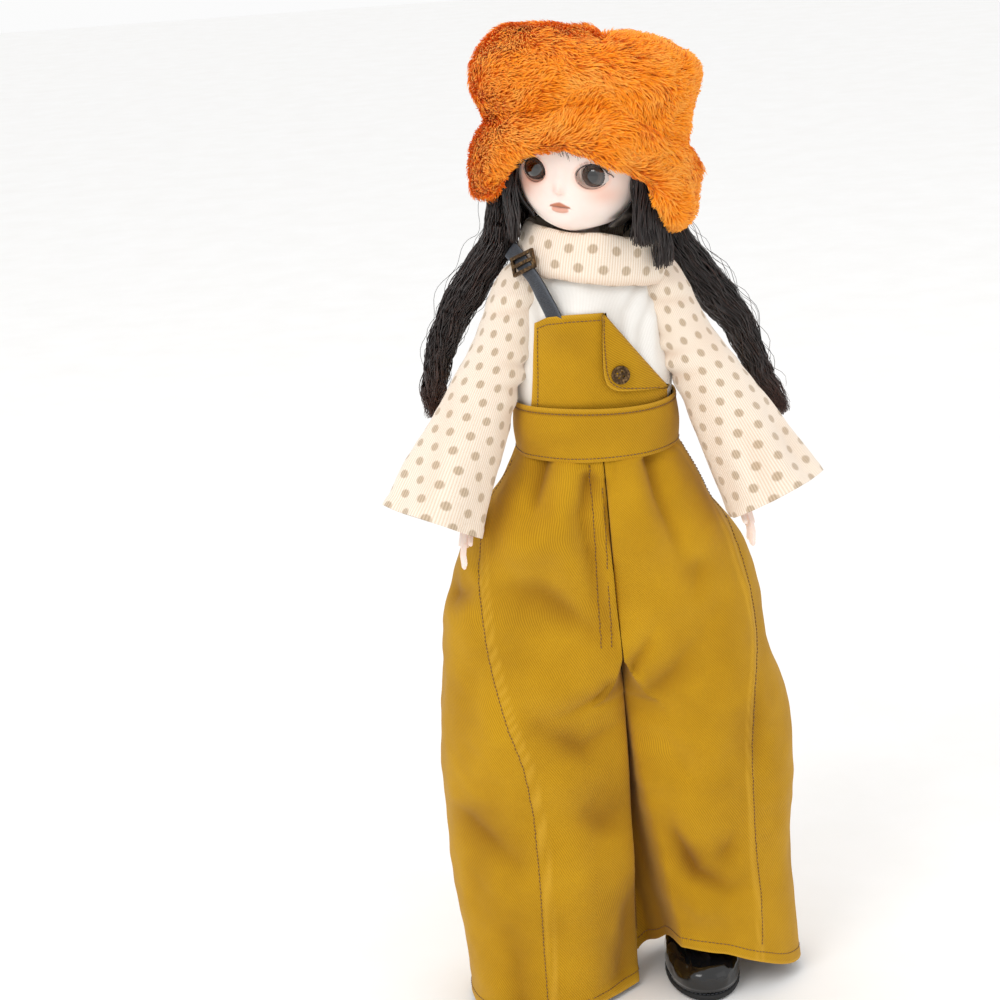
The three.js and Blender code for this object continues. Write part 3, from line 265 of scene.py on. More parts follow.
def shell(name, points, thickness, wrap=False, uv=None, normals=None, materials=(), values=None):
    """A thin closed skin: the grid of points outside, and the same grid moved in by the thickness."""
    rows, columns = points.shape[:2]
    count = rows * columns
    out = grid_normals(points, wrap) if normals is None else normals
    inside = points - out * np.asarray(thickness).reshape((-1, 1, 1) if np.ndim(thickness) else ())
    quads, open_quads = grid_faces(rows, columns, wrap)
    if uv is None:
        uv = grid_uv(points, wrap)
    flat = uv.reshape(-1, 2)
    faces = [quads, quads[:, ::-1] + count]
    corner_uv = [flat[open_quads].reshape(-1, 2), flat[open_quads[:, ::-1]].reshape(-1, 2)]
    rims = []
    c = np.arange(columns if wrap else columns - 1)
    n = (c + 1) % columns
    top = (rows - 1) * columns
    rims.append(np.stack([n, c, c + count, n + count], -1))
    rims.append(np.stack([top + c, top + n, top + n + count, top + c + count], -1))
    if not wrap:
        r = np.arange(rows - 1) * columns
        rims.append(np.stack([r, r + columns, r + columns + count, r + count], -1))
        e = r + columns - 1
        rims.append(np.stack([e + columns, e, e + count, e + columns + count], -1))
    point_uv = uv[:, :columns].reshape(-1, 2)
    point_uv = np.concatenate([point_uv, point_uv])
    for rim in rims:
        faces.append(rim)
        corner_uv.append(point_uv[rim].reshape(-1, 2))
    both = {k: np.concatenate([np.ravel(v), np.ravel(v)]) for k, v in (values or {}).items()}
    return mesh_object(
        name,
        np.concatenate([points.reshape(-1, 3), inside.reshape(-1, 3)]),
        [np.concatenate(faces)],
        np.concatenate(corner_uv),
        np.concatenate([out.reshape(-1, 3), -out.reshape(-1, 3)]),
        materials,
        both,
    )


def tubes(name, paths, radii, sides=4, materials=(), values=None, flat=1.0):
    """Round strands along many paths: paths is (strands, points, 3), radii (strands, points)."""
    paths = np.asarray(paths, float)
    count, steps = paths.shape[:2]
    radii = np.broadcast_to(np.asarray(radii, float), (count, steps))
    way = unit(np.gradient(paths, axis=1))
    across = unit(np.cross(way, np.array([0.3, 0.2, 1])))
    other = np.cross(way, across)
    angle = np.arange(sides) * TAU / sides
    ring = (
        paths[:, :, None]
        + radii[..., None, None] * (
            np.cos(angle)[None, None, :, None] * across[:, :, None]
            + flat * np.sin(angle)[None, None, :, None] * other[:, :, None]
        )
    )
    quads, _ = grid_faces(steps, sides, True)
    every = (quads[None] + (np.arange(count) * steps * sides)[:, None, None]).reshape(-1, 4)
    spread = {
        k: np.repeat(np.asarray(v, float).reshape(count, -1) * np.ones((1, steps)), sides, axis=1)
        for k, v in (values or {}).items()
    }
    ends = np.arange(count)[:, None] * steps * sides
    first = ends + np.arange(sides)[::-1][None]
    last = ends + (steps - 1) * sides + np.arange(sides)[None]
    faces = [every, first, last] if sides in (3, 4) else [every]
    return mesh_object(name, ring.reshape(-1, 3), faces, materials=materials, values=spread)


def join_objects(name, parts):
    """One mesh from several, with their materials."""
    bpy.ops.object.select_all(action="DESELECT")
    for part in parts:
        part.select_set(True)
    bpy.context.view_layer.objects.active = parts[0]
    bpy.ops.object.join()
    parts[0].name = name
    parts[0].data.name = name
    return parts[0]


def along(path, count):
    """Points at even spacing on a smooth line through the path's points."""
    path = np.asarray(path, float)
    run = run_along(path)
    fine = curve(run, path, np.linspace(0, run[-1], count * 4))
    run = run_along(fine)
    return np.stack([np.interp(np.linspace(0, run[-1], count), run, fine[:, i]) for i in range(3)], -1)


# Materials
class Paint:
    """A material's nodes, made a step at a time."""

    def __init__(self, name, roughness=0.6, **fixed):
        self.material = bpy.data.materials.new(name)
        self.material.use_nodes = True
        self.tree = self.material.node_tree
        self.shader = self.tree.nodes["Principled BSDF"]
        self.shader.inputs["Roughness"].default_value = roughness
        for key, value in fixed.items():
            self.shader.inputs[key.replace("_", " ")].default_value = value

    def node(self, kind, **settings):
        made = self.tree.nodes.new(kind)
        for key, value in settings.items():
            setattr(made, key, value)
        return made

    def feed(self, socket, value):
        if isinstance(value, bpy.types.NodeSocket):
            self.tree.links.new(value, socket)
        elif isinstance(value, tuple) and len(value) == 3 and socket.type == "RGBA":
            socket.default_value = (*value, 1)
        else:
            socket.default_value = value

    def math(self, operation, a, b=0.0, c=0.0):
        made = self.node("ShaderNodeMath", operation=operation)
        for socket, value in zip(made.inputs, (a, b, c)):
            self.feed(socket, value)
        return made.outputs[0]

    def uv(self):
        parts = self.node("ShaderNodeSeparateXYZ")
        self.feed(parts.inputs[0], self.node("ShaderNodeTexCoord").outputs["UV"])
        return parts.outputs[0], parts.outputs[1]

    def at(self):
        """The point on the piece in the doll's frame, in mm."""
        made = self.node("ShaderNodeVectorMath", operation="SCALE")
        self.feed(made.inputs[0], self.node("ShaderNodeTexCoord").outputs["Object"])
        made.inputs["Scale"].default_value = 1000
        return made.outputs[0]

    def noise(self, size, detail=2.0, rough=0.5, stretch=None):
        made = self.node("ShaderNodeTexNoise")
        where = self.at()
        if stretch:
            scaled = self.node("ShaderNodeVectorMath", operation="MULTIPLY")
            self.feed(scaled.inputs[0], where)
            scaled.inputs[1].default_value = stretch
            where = scaled.outputs[0]
        self.feed(made.inputs["Vector"], where)
        made.inputs["Scale"].default_value = 1 / size
        made.inputs["Detail"].default_value = detail
        made.inputs["Roughness"].default_value = rough
        return made.outputs[0]

    def value(self, name):
        return self.node("ShaderNodeAttribute", attribute_name=name).outputs["Fac"]

    def ramp(self, value, *stops):
        """stops are (place, colour); a colour is a number or three."""
        made = self.node("ShaderNodeValToRGB")
        self.feed(made.inputs[0], value)
        bar = made.color_ramp
        while len(bar.elements) < len(stops):
            bar.elements.new(0.5)
        for element, (spot_at, colour) in zip(bar.elements, stops):
            element.position = spot_at
            element.color = (*((colour,) * 3 if np.isscalar(colour) else colour), 1)
        return made.outputs[0]

    def mix(self, share, a, b):
        made = self.node("ShaderNodeMix", data_type="RGBA")
        self.feed(made.inputs["Factor"], share)
        self.feed(made.inputs[6], a)
        self.feed(made.inputs[7], b)
        return made.outputs[2]

    def tint(self, colour, share, amount, text):
        """The colour, with another over it where share is high."""
        return self.mix(self.math("MULTIPLY", share, amount), colour, rgb(text))

    def bump(self, height, strength, distance, under=None):
        made = self.node("ShaderNodeBump")
        made.inputs["Strength"].default_value = strength
        made.inputs["Distance"].default_value = distance * MM
        self.feed(made.inputs["Height"], height)
        if under is not None:
            self.feed(made.inputs["Normal"], under)
        return made.outputs[0]

    def done(self, colour, normal=None, roughness=None):
        self.feed(self.shader.inputs["Base Color"], colour)
        if normal is not None:
            self.feed(self.shader.inputs["Normal"], normal)
        if roughness is not None:
            self.feed(self.shader.inputs["Roughness"], roughness)
        return self.material


def rgb(text):
    """A colour as a screen shows it, from its six digits."""
    parts = [int(text[i:i + 2], 16) / 255 for i in (0, 2, 4)]
    return tuple(c / 12.92 if c <= 0.04045 else ((c + 0.055) / 1.055) ** 2.4 for c in parts)


def waves(p, value, pitch):
    """A sine from 0 to 1 across value, with that pitch."""
    turned = p.math("MULTIPLY", value, TAU / pitch)
    return p.math("MULTIPLY_ADD", p.math("SINE", turned), 0.5, 0.5)


def twill_material():
    p = Paint("twill", 0.86, Sheen_Weight=0.08, Sheen_Roughness=0.55, Specular_IOR_Level=0.2)
    u, v = p.uv()
    slip = p.math("MULTIPLY", p.math("SUBTRACT", p.noise(6, 2), 0.5), 0.8)
    diagonal = p.math("ADD", p.math("MULTIPLY_ADD", u, 0.82, slip), p.math("MULTIPLY", v, 0.57))
    rib = waves(p, diagonal, 0.62)
    yarn = waves(p, p.math("ADD", p.math("MULTIPLY", u, 0.57), p.math("MULTIPLY", v, -0.82)), 0.34)
    weave = p.math("MULTIPLY_ADD", yarn, 0.3, p.math("MULTIPLY", rib, 0.7))
    slub = p.noise(0.5, 3, 0.6, stretch=(1, 1, 0.4))
    broad = p.noise(26, 3, 0.55)
    base = p.ramp(broad, (0.3, rgb("a97b02")), (0.52, rgb("c08f08")), (0.72, rgb("d09e12")))
    base = p.tint(base, slub, 0.35, "7e5100")
    shade = p.ramp(weave, (0.0, rgb("7b5400")), (0.45, rgb("b78704")), (1.0, rgb("dcaa22")))
    cloth = p.mix(0.42, base, shade)
    cloth = p.tint(cloth, p.value("edge"), 0.35, "e9b740")
    # painted shade: darker amber where the cloth folds inward
    cloth = p.tint(cloth, p.value("crease"), 0.8, "7a4c02")
    bumps = p.bump(weave, 0.55, 0.12, p.bump(slub, 0.3, 0.1))
    return p.done(cloth, bumps)


def thread_material(name, text):
    p = Paint(name, 0.7, Sheen_Weight=0.2)
    turn = p.noise(0.35, 1)
    return p.done(p.mix(turn, rgb(text), tuple(0.6 * c for c in rgb(text))), p.bump(turn, 0.5, 0.08))


def knit_material():
    """Cream knit of fine ribs, with tan dots in staggered rows."""
    p = Paint("dotted_knit", 0.9, Sheen_Weight=0.35, Sheen_Roughness=0.6, Specular_IOR_Level=0.2)
    u, v = p.uv()
    wide, tall, size = 6.6, 5.4, 1.34
    line = p.math("DIVIDE", v, tall)
    number = p.math("FLOOR", line)
    odd = p.math("MULTIPLY", p.math("MODULO", number, 2.0), 0.5)
    across = p.math("SUBTRACT", p.math("FRACT", p.math("ADD", p.math("DIVIDE", u, wide), odd)), 0.5)
    along_v = p.math("SUBTRACT", p.math("FRACT", line), 0.5)
    far = p.math("SQRT", p.math("ADD",
        p.math("POWER", p.math("MULTIPLY", across, wide), 2.0),
        p.math("POWER", p.math("MULTIPLY", along_v, tall), 2.0)))
    ragged = p.math("MULTIPLY_ADD", p.math("SUBTRACT", p.noise(0.5, 2), 0.5), 0.35, far)
    dot = p.ramp(p.math("DIVIDE", ragged, size * 2), (0.4, 1.0), (0.6, 0.0))
    rib = waves(p, u, 0.78)
    stitch = waves(p, p.math("MULTIPLY_ADD", rib, 0.25, v), 0.42)
    loops = p.math("MULTIPLY_ADD", stitch, 0.28, p.math("MULTIPLY", rib, 0.72))
    fuzz = p.noise(0.3, 3, 0.7)
    # painted shade: this ramp and the tan one below darken the grooves between the stitches
    cream = p.ramp(loops, (0.0, rgb("dcbfa0")), (0.5, rgb("f3e2cd")), (1.0, rgb("fdf5ea")))
    cream = p.tint(cream, p.noise(14, 2), 0.35, "f1d9bf")
    cream = p.tint(cream, fuzz, 0.25, "fffaf2")
    tan = p.ramp(loops, (0.0, rgb("b09a80")), (0.6, rgb("c8b195")), (1.0, rgb("d8c6ae")))
    colour = p.mix(dot, cream, tan)
    # painted shade: peachy darkening where the knit folds inward
    colour = p.tint(colour, p.value("crease"), 0.5, "c99a72")
    return p.done(colour, p.bump(loops, 0.7, 0.16, p.bump(fuzz, 0.35, 0.08)))


def jersey_material():
    p = Paint("jersey", 0.88, Sheen_Weight=0.25, Sheen_Roughness=0.5, Specular_IOR_Level=0.2)
    u, v = p.uv()
    rib = waves(p, u, 0.5)
    stitch = waves(p, p.math("MULTIPLY_ADD", rib, 0.2, v), 0.36)
    loops = p.math("MULTIPLY_ADD", stitch, 0.4, p.math("MULTIPLY", rib, 0.6))
    # painted shade: the ramp over the loop pattern darkens the grooves between the stitches
    colour = p.ramp(loops, (0.0, rgb("e2dfd8")), (0.6, rgb("f7f5f1")), (1.0, rgb("fdfcfa")))
    colour = p.tint(colour, p.noise(12, 2), 0.3, "ece6dc")
    # painted shade: greyer where the jersey folds inward
    colour = p.tint(colour, p.value("crease"), 0.6, "b7aca0")
    return p.done(colour, p.bump(loops, 0.5, 0.1))


def fur_material(name, low, middle, high):
    p = Paint(name, 0.8, Sheen_Weight=0.1, Sheen_Roughness=0.45, Specular_IOR_Level=0.12)
    shade, tip = p.value("shade"), p.value("tip")
    colour = p.ramp(p.math("MULTIPLY_ADD", tip, 0.45, p.math("MULTIPLY", shade, 0.55)),
                    (0.05, low), (0.45, middle), (0.95, high))
    colour = p.mix(p.math("MULTIPLY", p.noise(9, 2), 0.4), colour, middle)
    return p.done(colour, p.bump(p.noise(0.4, 2), 0.2, 0.1))


def hair_material():
    p = Paint("hair", 0.3, Specular_IOR_Level=0.6, Anisotropic=0.6, Coat_Weight=0.3, Coat_Roughness=0.22)
    shade, tip = p.value("shade"), p.value("tip")
    colour = p.ramp(shade, (0.0, rgb("150d0b")), (0.6, rgb("2b1b17")), (1.0, rgb("4a2f25")))
    colour = p.tint(colour, p.ramp(tip, (0.8, 0.0), (1.0, 1.0)), 0.6, "5a3020")
    return p.done(colour, p.bump(p.noise(0.3, 1), 0.1, 0.05))


RESIN_RADIUS = (1.0, 0.45, 0.3)  # how far red, green and blue light go into resin, against each other


def resin_material():
    p = Paint("resin", 0.5, Subsurface_Weight=0.18, Subsurface_Scale=0.002, Subsurface_Radius=RESIN_RADIUS,
              Specular_IOR_Level=0.42)
    colour = p.mix(p.noise(5, 3), rgb("fbe9df"), rgb("f6dccf"))
    roughness = p.ramp(p.noise(3, 2), (0.3, 0.44), (0.7, 0.56))
    return p.done(colour, p.bump(p.noise(0.6, 3, 0.6), 0.08, 0.05), roughness)


def leather_material():
    p = Paint("strap_leather", 0.5, Specular_IOR_Level=0.5)
    cells = p.node("ShaderNodeTexVoronoi", feature="DISTANCE_TO_EDGE")
    p.feed(cells.inputs["Vector"], p.at())
    cells.inputs["Scale"].default_value = 2.4
    grain = p.ramp(cells.outputs[0], (0.0, 0.0), (0.25, 1.0))
    colour = p.mix(grain, rgb("202329"), rgb("3c414a"))
    colour = p.tint(colour, p.value("edge"), 0.6, "6a6f78")
    return p.done(colour, p.bump(grain, 0.45, 0.1), p.ramp(p.noise(2, 2), (0.3, 0.42), (0.7, 0.6)))


def bronze_material():
    p = Paint("bronze", 0.42, Metallic=0.9)
    worn = p.noise(0.9, 4, 0.65)
    colour = p.ramp(worn, (0.3, rgb("2e241a")), (0.52, rgb("5b4630")), (0.75, rgb("9c7d52")))
    return p.done(colour, p.bump(worn, 0.25, 0.08), p.ramp(worn, (0.3, 0.55), (0.75, 0.3)))


def patent_material():
    p = Paint("patent", 0.16, Coat_Weight=0.45, Coat_Roughness=0.06, Specular_IOR_Level=0.4)
    return p.done(p.mix(p.noise(4, 2), rgb("070708"), rgb("121214")), p.bump(p.noise(3.5, 3), 0.08, 0.3))


def plain_material(name, dark, light, size=0.5, roughness=0.7, metal=0.0):
    p = Paint(name, roughness, Metallic=metal)
    grain = p.noise(size, 3, 0.6)
    return p.done(p.mix(grain, rgb(dark), rgb(light)), p.bump(grain, 0.3, 0.08))


TWILL = twill_material()
SEAM = thread_material("topstitch", "7a4a12")
KNIT = knit_material()
JERSEY = jersey_material()
RESIN = resin_material()
HAIR = hair_material()
LEATHER = leather_material()
BRONZE = bronze_material()
PATENT = patent_material()
RUBBER = plain_material("rubber_sole", "0c0c0d", "1c1c1e")
ELASTIC = plain_material("elastic", "cfc9bc", "efeadf", 0.3)
STEEL = plain_material("steel", "7c7c7a", "b4b4b0", 0.8, 0.35, 1.0)
FUR = fur_material("fur_orange", rgb("ea7208"), rgb("ff981c"), rgb("ffbe5c"))


# Cloth
SKIN_SHARE = 0.98  # how much of its flat rectangle a piece of cloth fills


def fit(made, node, body):
    """The piece takes the place of the CAD node and moves with the body."""
    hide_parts(node)
    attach(made, body)


def sheet_piece(made, first, second=None, flat=None):
    """Ties the piece to its body when it has only one; with two, its transform is baked into its mesh.
    Without a flat size, its length is its height.
    """
    area = sum(face.area for face in made.data.polygons) / 2
    if flat is None:
        levels = [v.co.z for v in made.data.vertices]
        length = max(levels) - min(levels)
        flat = (area / length / SKIN_SHARE, length)
    if second is None:
        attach(made, first)
    else:
        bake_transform(made)


def stitches(route, normals, step=1.25):
    """Short threads along a route: paths of (stitches, points, 3)."""
    run = run_along(route)
    starts = np.arange(0, run[-1] - step, step)
    at = starts[:, None] + np.linspace(0, step * 0.72, 5)[None]
    read = lambda values: np.stack([np.interp(at, run, values[:, i]) for i in range(3)], -1)
    arch = np.array([-0.35, 0.7, 1.0, 0.7, -0.35]) * 0.13 + 0.05
    return read(route) + unit(read(normals)) * arch[None, :, None]


def round_stitches(points, normals, row, step=1.25):
    """Stitches along a whole row of a closed grid."""
    loop = np.concatenate([points[row], points[row, :1]])
    return stitches(loop, np.concatenate([normals[row], normals[row, :1]]), step)


def sew(cloth, paths, radius=0.15):
    """The cloth and its stitches as one mesh."""
    return join_objects(cloth.name, [cloth, tubes("thread", paths, radius, 3, (SEAM,))])


# Trousers
BAND_BASE, BAND_TOP = 183.2, 199.7
LEG_CUTS = (150.0, 105.0, 89.0)
OUTSIDE = 0.7  # the share of a half's columns that go round the outside
HEM = {-1: 1.4, 1: 16.0}  # how high each leg's hem is above the floor
TRIM = (TWILL, SEAM)
# Each fold: its line of (x, z), its height, its width, and the shares of the line where it rises and fades.
FOLDS = {
    -1: [
        ([(-4, 184), (-9, 167), (-8, 158), (-5, 139.6), (0, 114)], -5.2, 3.5, 0.1, 0.9),
        ([(-8, 184), (-13, 168), (-14, 155.9), (-12, 142), (-7, 124.8)], 2.4, 6.1, 0.05, 0.6),
        ([(-18, 184), (-22, 173), (-24, 163)], -3.5, 2.7, 0.0, 0.55),
        ([(-27, 170), (-25, 158), (-20, 148.7)], 3.3, 10.8, 0.5, 0.5),
        ([(-1, 112.8), (-6, 107.6), (-16, 103.2), (-26, 100.3)], -3.3, 3.5, 0.2, 0.8),
        ([(-46, 141), (-39, 143), (-30, 144.3), (-21, 142), (-10, 131.9), (-1, 116.5)], -3.3, 6.8, 0.6, 0.5),
        ([(-38, 127), (-26, 111.6), (-12, 107.6), (-4, 108.5)], 2.2, 6.8, 0.6, 0.5),
        ([(-34, 104), (-23, 95.9), (-13, 89.4), (-5, 94.4), (0, 100.8)], -4.2, 5.4, 0.7, 0.6),
        ([(-30, 81.9), (-18, 78), (-6, 83.8)], 2.1, 8.1, 0.6, 0.6),
        ([(-56, 71), (-43, 60), (-34, 52), (-25, 45)], -3.3, 6.2, 0.2, 0.8),
        ([(-54, 137), (-46, 140), (-40, 147)], -3.0, 4.6, 0.2, 0.7),
        ([(-20, 74), (-8, 62), (0, 55)], -2.3, 5.4, 0.7, 0.5),
        ([(-33, 75), (-22, 57), (-14, 28), (-13, 2)], 2.1, 9.5, 0.5, 0.3),
        ([(-6, 45), (-4, 25), (-6, 2)], -2.3, 4.6, 0.5, 0.1),
        ([(-42, 40), (-38, 20), (-37, 2)], -2.1, 5.4, 0.8, 0.1),
    ],
    1: [
        ([(14, 184), (16, 170), (21, 154.9), (25, 146.5)], -4.5, 3.1, 0.05, 0.8),
        ([(8, 184), (10, 170), (13, 155.9), (18, 142)], 2.2, 6.2, 0.05, 0.6),
        ([(20, 182), (24, 170), (30, 158)], 1.8, 5.4, 0.05, 0.6),
        ([(1, 114), (8, 123.4), (14, 133.2)], -3.3, 3.0, 0.1, 0.9),
        ([(9, 150.8), (18, 137.2), (33, 132)], 2.0, 8.1, 0.6, 0.6),
        ([(28, 126.3), (17, 114), (8, 107.6), (2, 109.5)], -3.1, 4.9, 0.7, 0.3),
        ([(24, 133.2), (28, 145.4), (29, 154.9)], -2.1, 4.9, 0.7, 0.5),
        ([(8, 97.2), (16, 83.8), (26, 70)], -1.9, 6.2, 0.7, 0.7),
        ([(10, 103.2), (17, 93.6), (30, 76)], 1.8, 8.1, 0.6, 0.6),
        ([(11, 68), (13, 56), (20, 43), (31, 38), (43, 40)], -4.9, 4.1, 0.5, 0.6),
        ([(12, 45), (22, 33), (40, 31)], 2.8, 6.2, 0.5, 0.6),
        ([(48, 124), (46, 104), (44, 84), (45, 57)], -2.4, 4.9, 0.7, 0.7),
        ([(36, 60), (33, 52), (27, 46)], -2.1, 4.1, 0.7, 0.5),
        ([(52, 100), (53, 75), (54, 40)], 1.5, 6.8, 0.6, 0.5),
    ],
}
SIDE_SEAMS = {  # x and z of the seam that the front of each leg shows
    -1: [(-27, 184), (-33, 172), (-37.5, 158), (-39.2, 145), (-38.4, 126), (-34.4, 102), (-29.5, 84),
         (-27.3, 64), (-27, 39), (-27.2, -2)],
    1: [(24, 184), (32, 170), (39.5, 153), (44, 134), (45.3, 120), (42.7, 100), (40.8, 73), (41, 55),
        (42.2, 30), (41, 0)],
}


def hip_section(z, side, t):
    """Half of the hips: round the outside for the first share of the way, and down the middle after it."""
    wide = curve([110, 118, 125, 132, 140, 149, 155, 164, 170, 175, 180, 184],
                 [52.5, 52.3, 51.5, 50.5, 48.3, 45.5, 42.5, 36, 32.5, 29.8, 26.6, 24.6], z)
    wide = wide + side * -1.2 * smoothstep(180, 160, z)
    front = curve([110, 125, 140, 155, 170, 178, 184], [24.5, 24.8, 25.0, 25.2, 24.2, 22.0, 20.4], z)
    back = front + 0.5
    turn = (np.clip(t / OUTSIDE, 0, 1) - 0.5) * math.pi
    x = np.abs(np.cos(turn)) ** (2 / 2.15) * wide
    y = rounded(np.sin(turn), 2.15)
    y = np.where(y < 0, y * front, y * back)
    wall = np.clip((t - OUTSIDE) / (1 - OUTSIDE), 0, 1)
    y = np.where(t > OUTSIDE, back * (1 - 2 * wall), y)
    y = np.where((t > OUTSIDE) & (wall > 0.5), y * front / back, y)
    x = np.where(t > OUTSIDE, 0.0, x)
    return side * (x + 0.18), y


LEG_FORM = {  # heights and sizes: the leg's middle, half its width, half its depth, its shift and its skew
    -1: (
        ([0, 20, 50, 80, 110, 130], [26.5, 26.8, 27.8, 27.9, 27.0, 26.5]),
        ([0, 20, 50, 80, 110, 130], [24.6, 26.3, 27.9, 28.0, 27.4, 26.8]),
        ([0, 30, 78, 120, 150], [26.5, 25.2, 24.0, 24.2, 24.6]),
        ([0, 30, 78, 130], [-2.4, -1.4, -0.4, 0]),
        ([0, 30, 80, 130], [-8.0, -5.0, 0, 0]),
    ),
    1: (
        ([0, 20, 50, 80, 110, 130], [33.0, 31.6, 29.2, 28.4, 27.2, 26.8]),
        ([0, 20, 50, 80, 110, 130], [26.8, 27.2, 28.2, 28.4, 27.2, 26.8]),
        ([0, 30, 78, 120, 150], [22.6, 23.2, 23.8, 24.2, 24.6]),
        ([0, 30, 78, 130], [1.0, 0.6, 0, 0]),
        ([0, 130], [0, 0]),
    ),
}


def leg_section(z, side, t):
    """One leg's outline at the height z, for t from 0 to 1 round it."""
    turn = np.where(t < OUTSIDE, -TAU / 3 + t / OUTSIDE * 2 * TAU / 3,
                    TAU / 3 + (t - OUTSIDE) / (1 - OUTSIDE) * TAU / 3)
    centre, half, deep, shift, skew = (curve(heights, sizes, z) for heights, sizes in LEG_FORM[side])
    x = rounded(np.cos(turn), 2.12) * half
    y = rounded(np.sin(turn), 2.12) * deep
    lean = skew * np.clip(y / 26, -1, 1) * 0.5
    return side * (centre + x + lean + skew * 0.5 * (y > 0) * (y / 26)), y + shift


def trouser_half(side):
    """The outer skin of one half, hem to waist, as a grid of points, with its painted fold shade and how worn
    it is.
    """
    columns = 150
    t = (np.arange(columns) / columns)[None, :]
    hem = HEM[side]
    bands = [np.linspace(hem, LEG_CUTS[2], 62)[:-1], np.linspace(LEG_CUTS[2], LEG_CUTS[1], 14)[:-1],
             np.linspace(LEG_CUTS[1], LEG_CUTS[0], 36)[:-1], np.linspace(LEG_CUTS[0], BAND_BASE + 0.8, 30)]
    levels = np.concatenate(bands)
    z = levels[:, None] + 0 * t
    hx, hy = hip_section(z, side, t + 0 * z)
    lx, ly = leg_section(z, side, t + 0 * z)
    share = smoothstep(121, 97, z)
    points = np.stack([hx + (lx - hx) * share, hy + (ly - hy) * share, z], -1)
    if side < 0:
        points = points[:, ::-1]
        t = t[:, ::-1]
    out = grid_normals(points, True)
    out[..., 2] = 0
    out = unit(out)
    x, y = points[..., 0], points[..., 1]
    ahead = smoothstep(4, -6, y) * (np.abs(x) > 0.5)
    wall = (t > OUTSIDE) & (z > 104)
    move = np.zeros_like(z)
    for line, height, width, before, after in FOLDS[side]:
        far, run = distance_to_line(x, z, line)
        fade = smoothstep(-0.001, before, run) if before else 1.0
        fade = (fade * 0.9 + 0.1) * (1 - smoothstep(1 - after, 1.001, run) * 0.92)
        sharp = np.exp(-(far / width) ** 2) if height > 0 else np.exp(-np.abs(far / width) ** 1.35)
        move = move + height * sharp * fade * ahead
    # pleats, gathers and small crumples
    flat = np.stack([x, y, z * 0.3], -1)
    back = 1 - ahead
    pleats = value_noise(flat + [0, 0, 3 * side], 9.5, 3 + side)
    move = move + pleats * (0.9 + 0.8 * back) * smoothstep(183, 172, z)
    broad = value_noise(np.stack([x, y, z * 0.8], -1), 19, 9 + side)
    move = move + broad * 1.1 * smoothstep(184, 160, z)
    gather = np.sin(np.arctan2(y, x) * 22 + 2 * value_noise(flat, 12, 5)) * back
    move = move + gather * 0.7 * smoothstep(150, 182, z)
    crumple = value_noise(np.stack([x + z * 0.3, y, z], -1), 5.0, 21 + side)
    move = move + crumple * 0.22 * smoothstep(184, 176, z)
    # painted shade: the deeper a fold pushes inward, the darker its colour
    crease = np.clip((-move - 0.3) / 3.8, 0, 1)
    # side seam, fly and hem
    seam_far, _ = distance_to_line(x, z, SIDE_SEAMS[side])
    seam = np.exp(-(seam_far / 0.75) ** 4) * ahead
    move = move + 0.34 * seam
    if side < 0:
        fly = np.exp(-((x + 2.6) / 1.5) ** 6) * ahead * smoothstep(124, 134, z)
        move = move + 0.4 * fly
    hem_edge = smoothstep(hem + 3.2, hem + 2.6, z)
    move = move + 0.25 * hem_edge * (1 - 0.5 * seam)
    beside_seam = np.exp(-((seam_far - 0.8) / 0.5) ** 2) * ahead * 0.8
    worn = np.clip(beside_seam + smoothstep(hem + 1.2, hem, z), 0, 1)
    move = np.where(wall, 0.0, move)
    limit = np.where((np.abs(x) < 3) & (z > 108) & (y < 22) & (y > -22), 0.0, 1.0)
    points = points + out * (move * limit)[..., None]
    # the halves stay on their own sides of the middle
    inside = side * points[..., 0]
    inside = inside - 3.4 * smoothstep(13, 2, inside) * smoothstep(118, 100, z)
    points[..., 0] = side * np.maximum(inside, 0.12)
    # the left hem is pulled up in front, and its inner side is folded back
    if side > 0:
        across = np.clip(x, 0, 60)
        front_hem = curve([0, 8, 14, 28.7, 41.6, 53.5, 60], [6.5, 10.5, 16.0, 14.6, 10.2, 5.0, 3.5], across)
        back_hem = curve([0, 20, 40, 60], [6.0, 5.0, 4.0, 3.5], across)
        aim = front_hem + (back_hem - front_hem) * smoothstep(-12, 10, y)
        points[..., 2] += (aim - hem) * smoothstep(58, hem, z)
        ridge = curve([10, 20, 40, 60, 90, 116], [15, 14, 10.5, 7.5, 4, 1], z)
        inner = 1 - smoothstep(ridge - 3.4, ridge + 0.6, x)
        inner = inner * smoothstep(2, -10, y) * smoothstep(112, 80, z)
        points[..., 1] += 11.0 * inner
        # the folded-back inner side also gets painted shade
        crease = np.clip(crease + 0.75 * inner, 0, 1)
    # the inner sides lean over, as in the photograph
    middle = curve([0, 60, 100, 118, 140, 184], [3.6, 3.8, 3.4, 2.6, 1.2, 0], z)
    points[..., 0] += middle * np.exp(-(points[..., 0] / 24) ** 2)
    return points, crease, worn, levels


def front_point(points, normals, x, z):
    """The place and the normal on the front of a half, for each x and z."""
    places, ways = [], []
    for px, pz in zip(x, z):
        front = points[..., 1] < 2
        far = np.where(front, (points[..., 0] - px) ** 2 + (points[..., 2] - pz) ** 2, 1e9)
        order = np.argpartition(far.ravel(), 4)[:4]
        weight = 1 / (far.ravel()[order] + 0.02)
        weight /= weight.sum()
        places.append((points.reshape(-1, 3)[order] * weight[:, None]).sum(0))
        ways.append((normals.reshape(-1, 3)[order] * weight[:, None]).sum(0))
    return np.array(places), unit(np.array(ways))


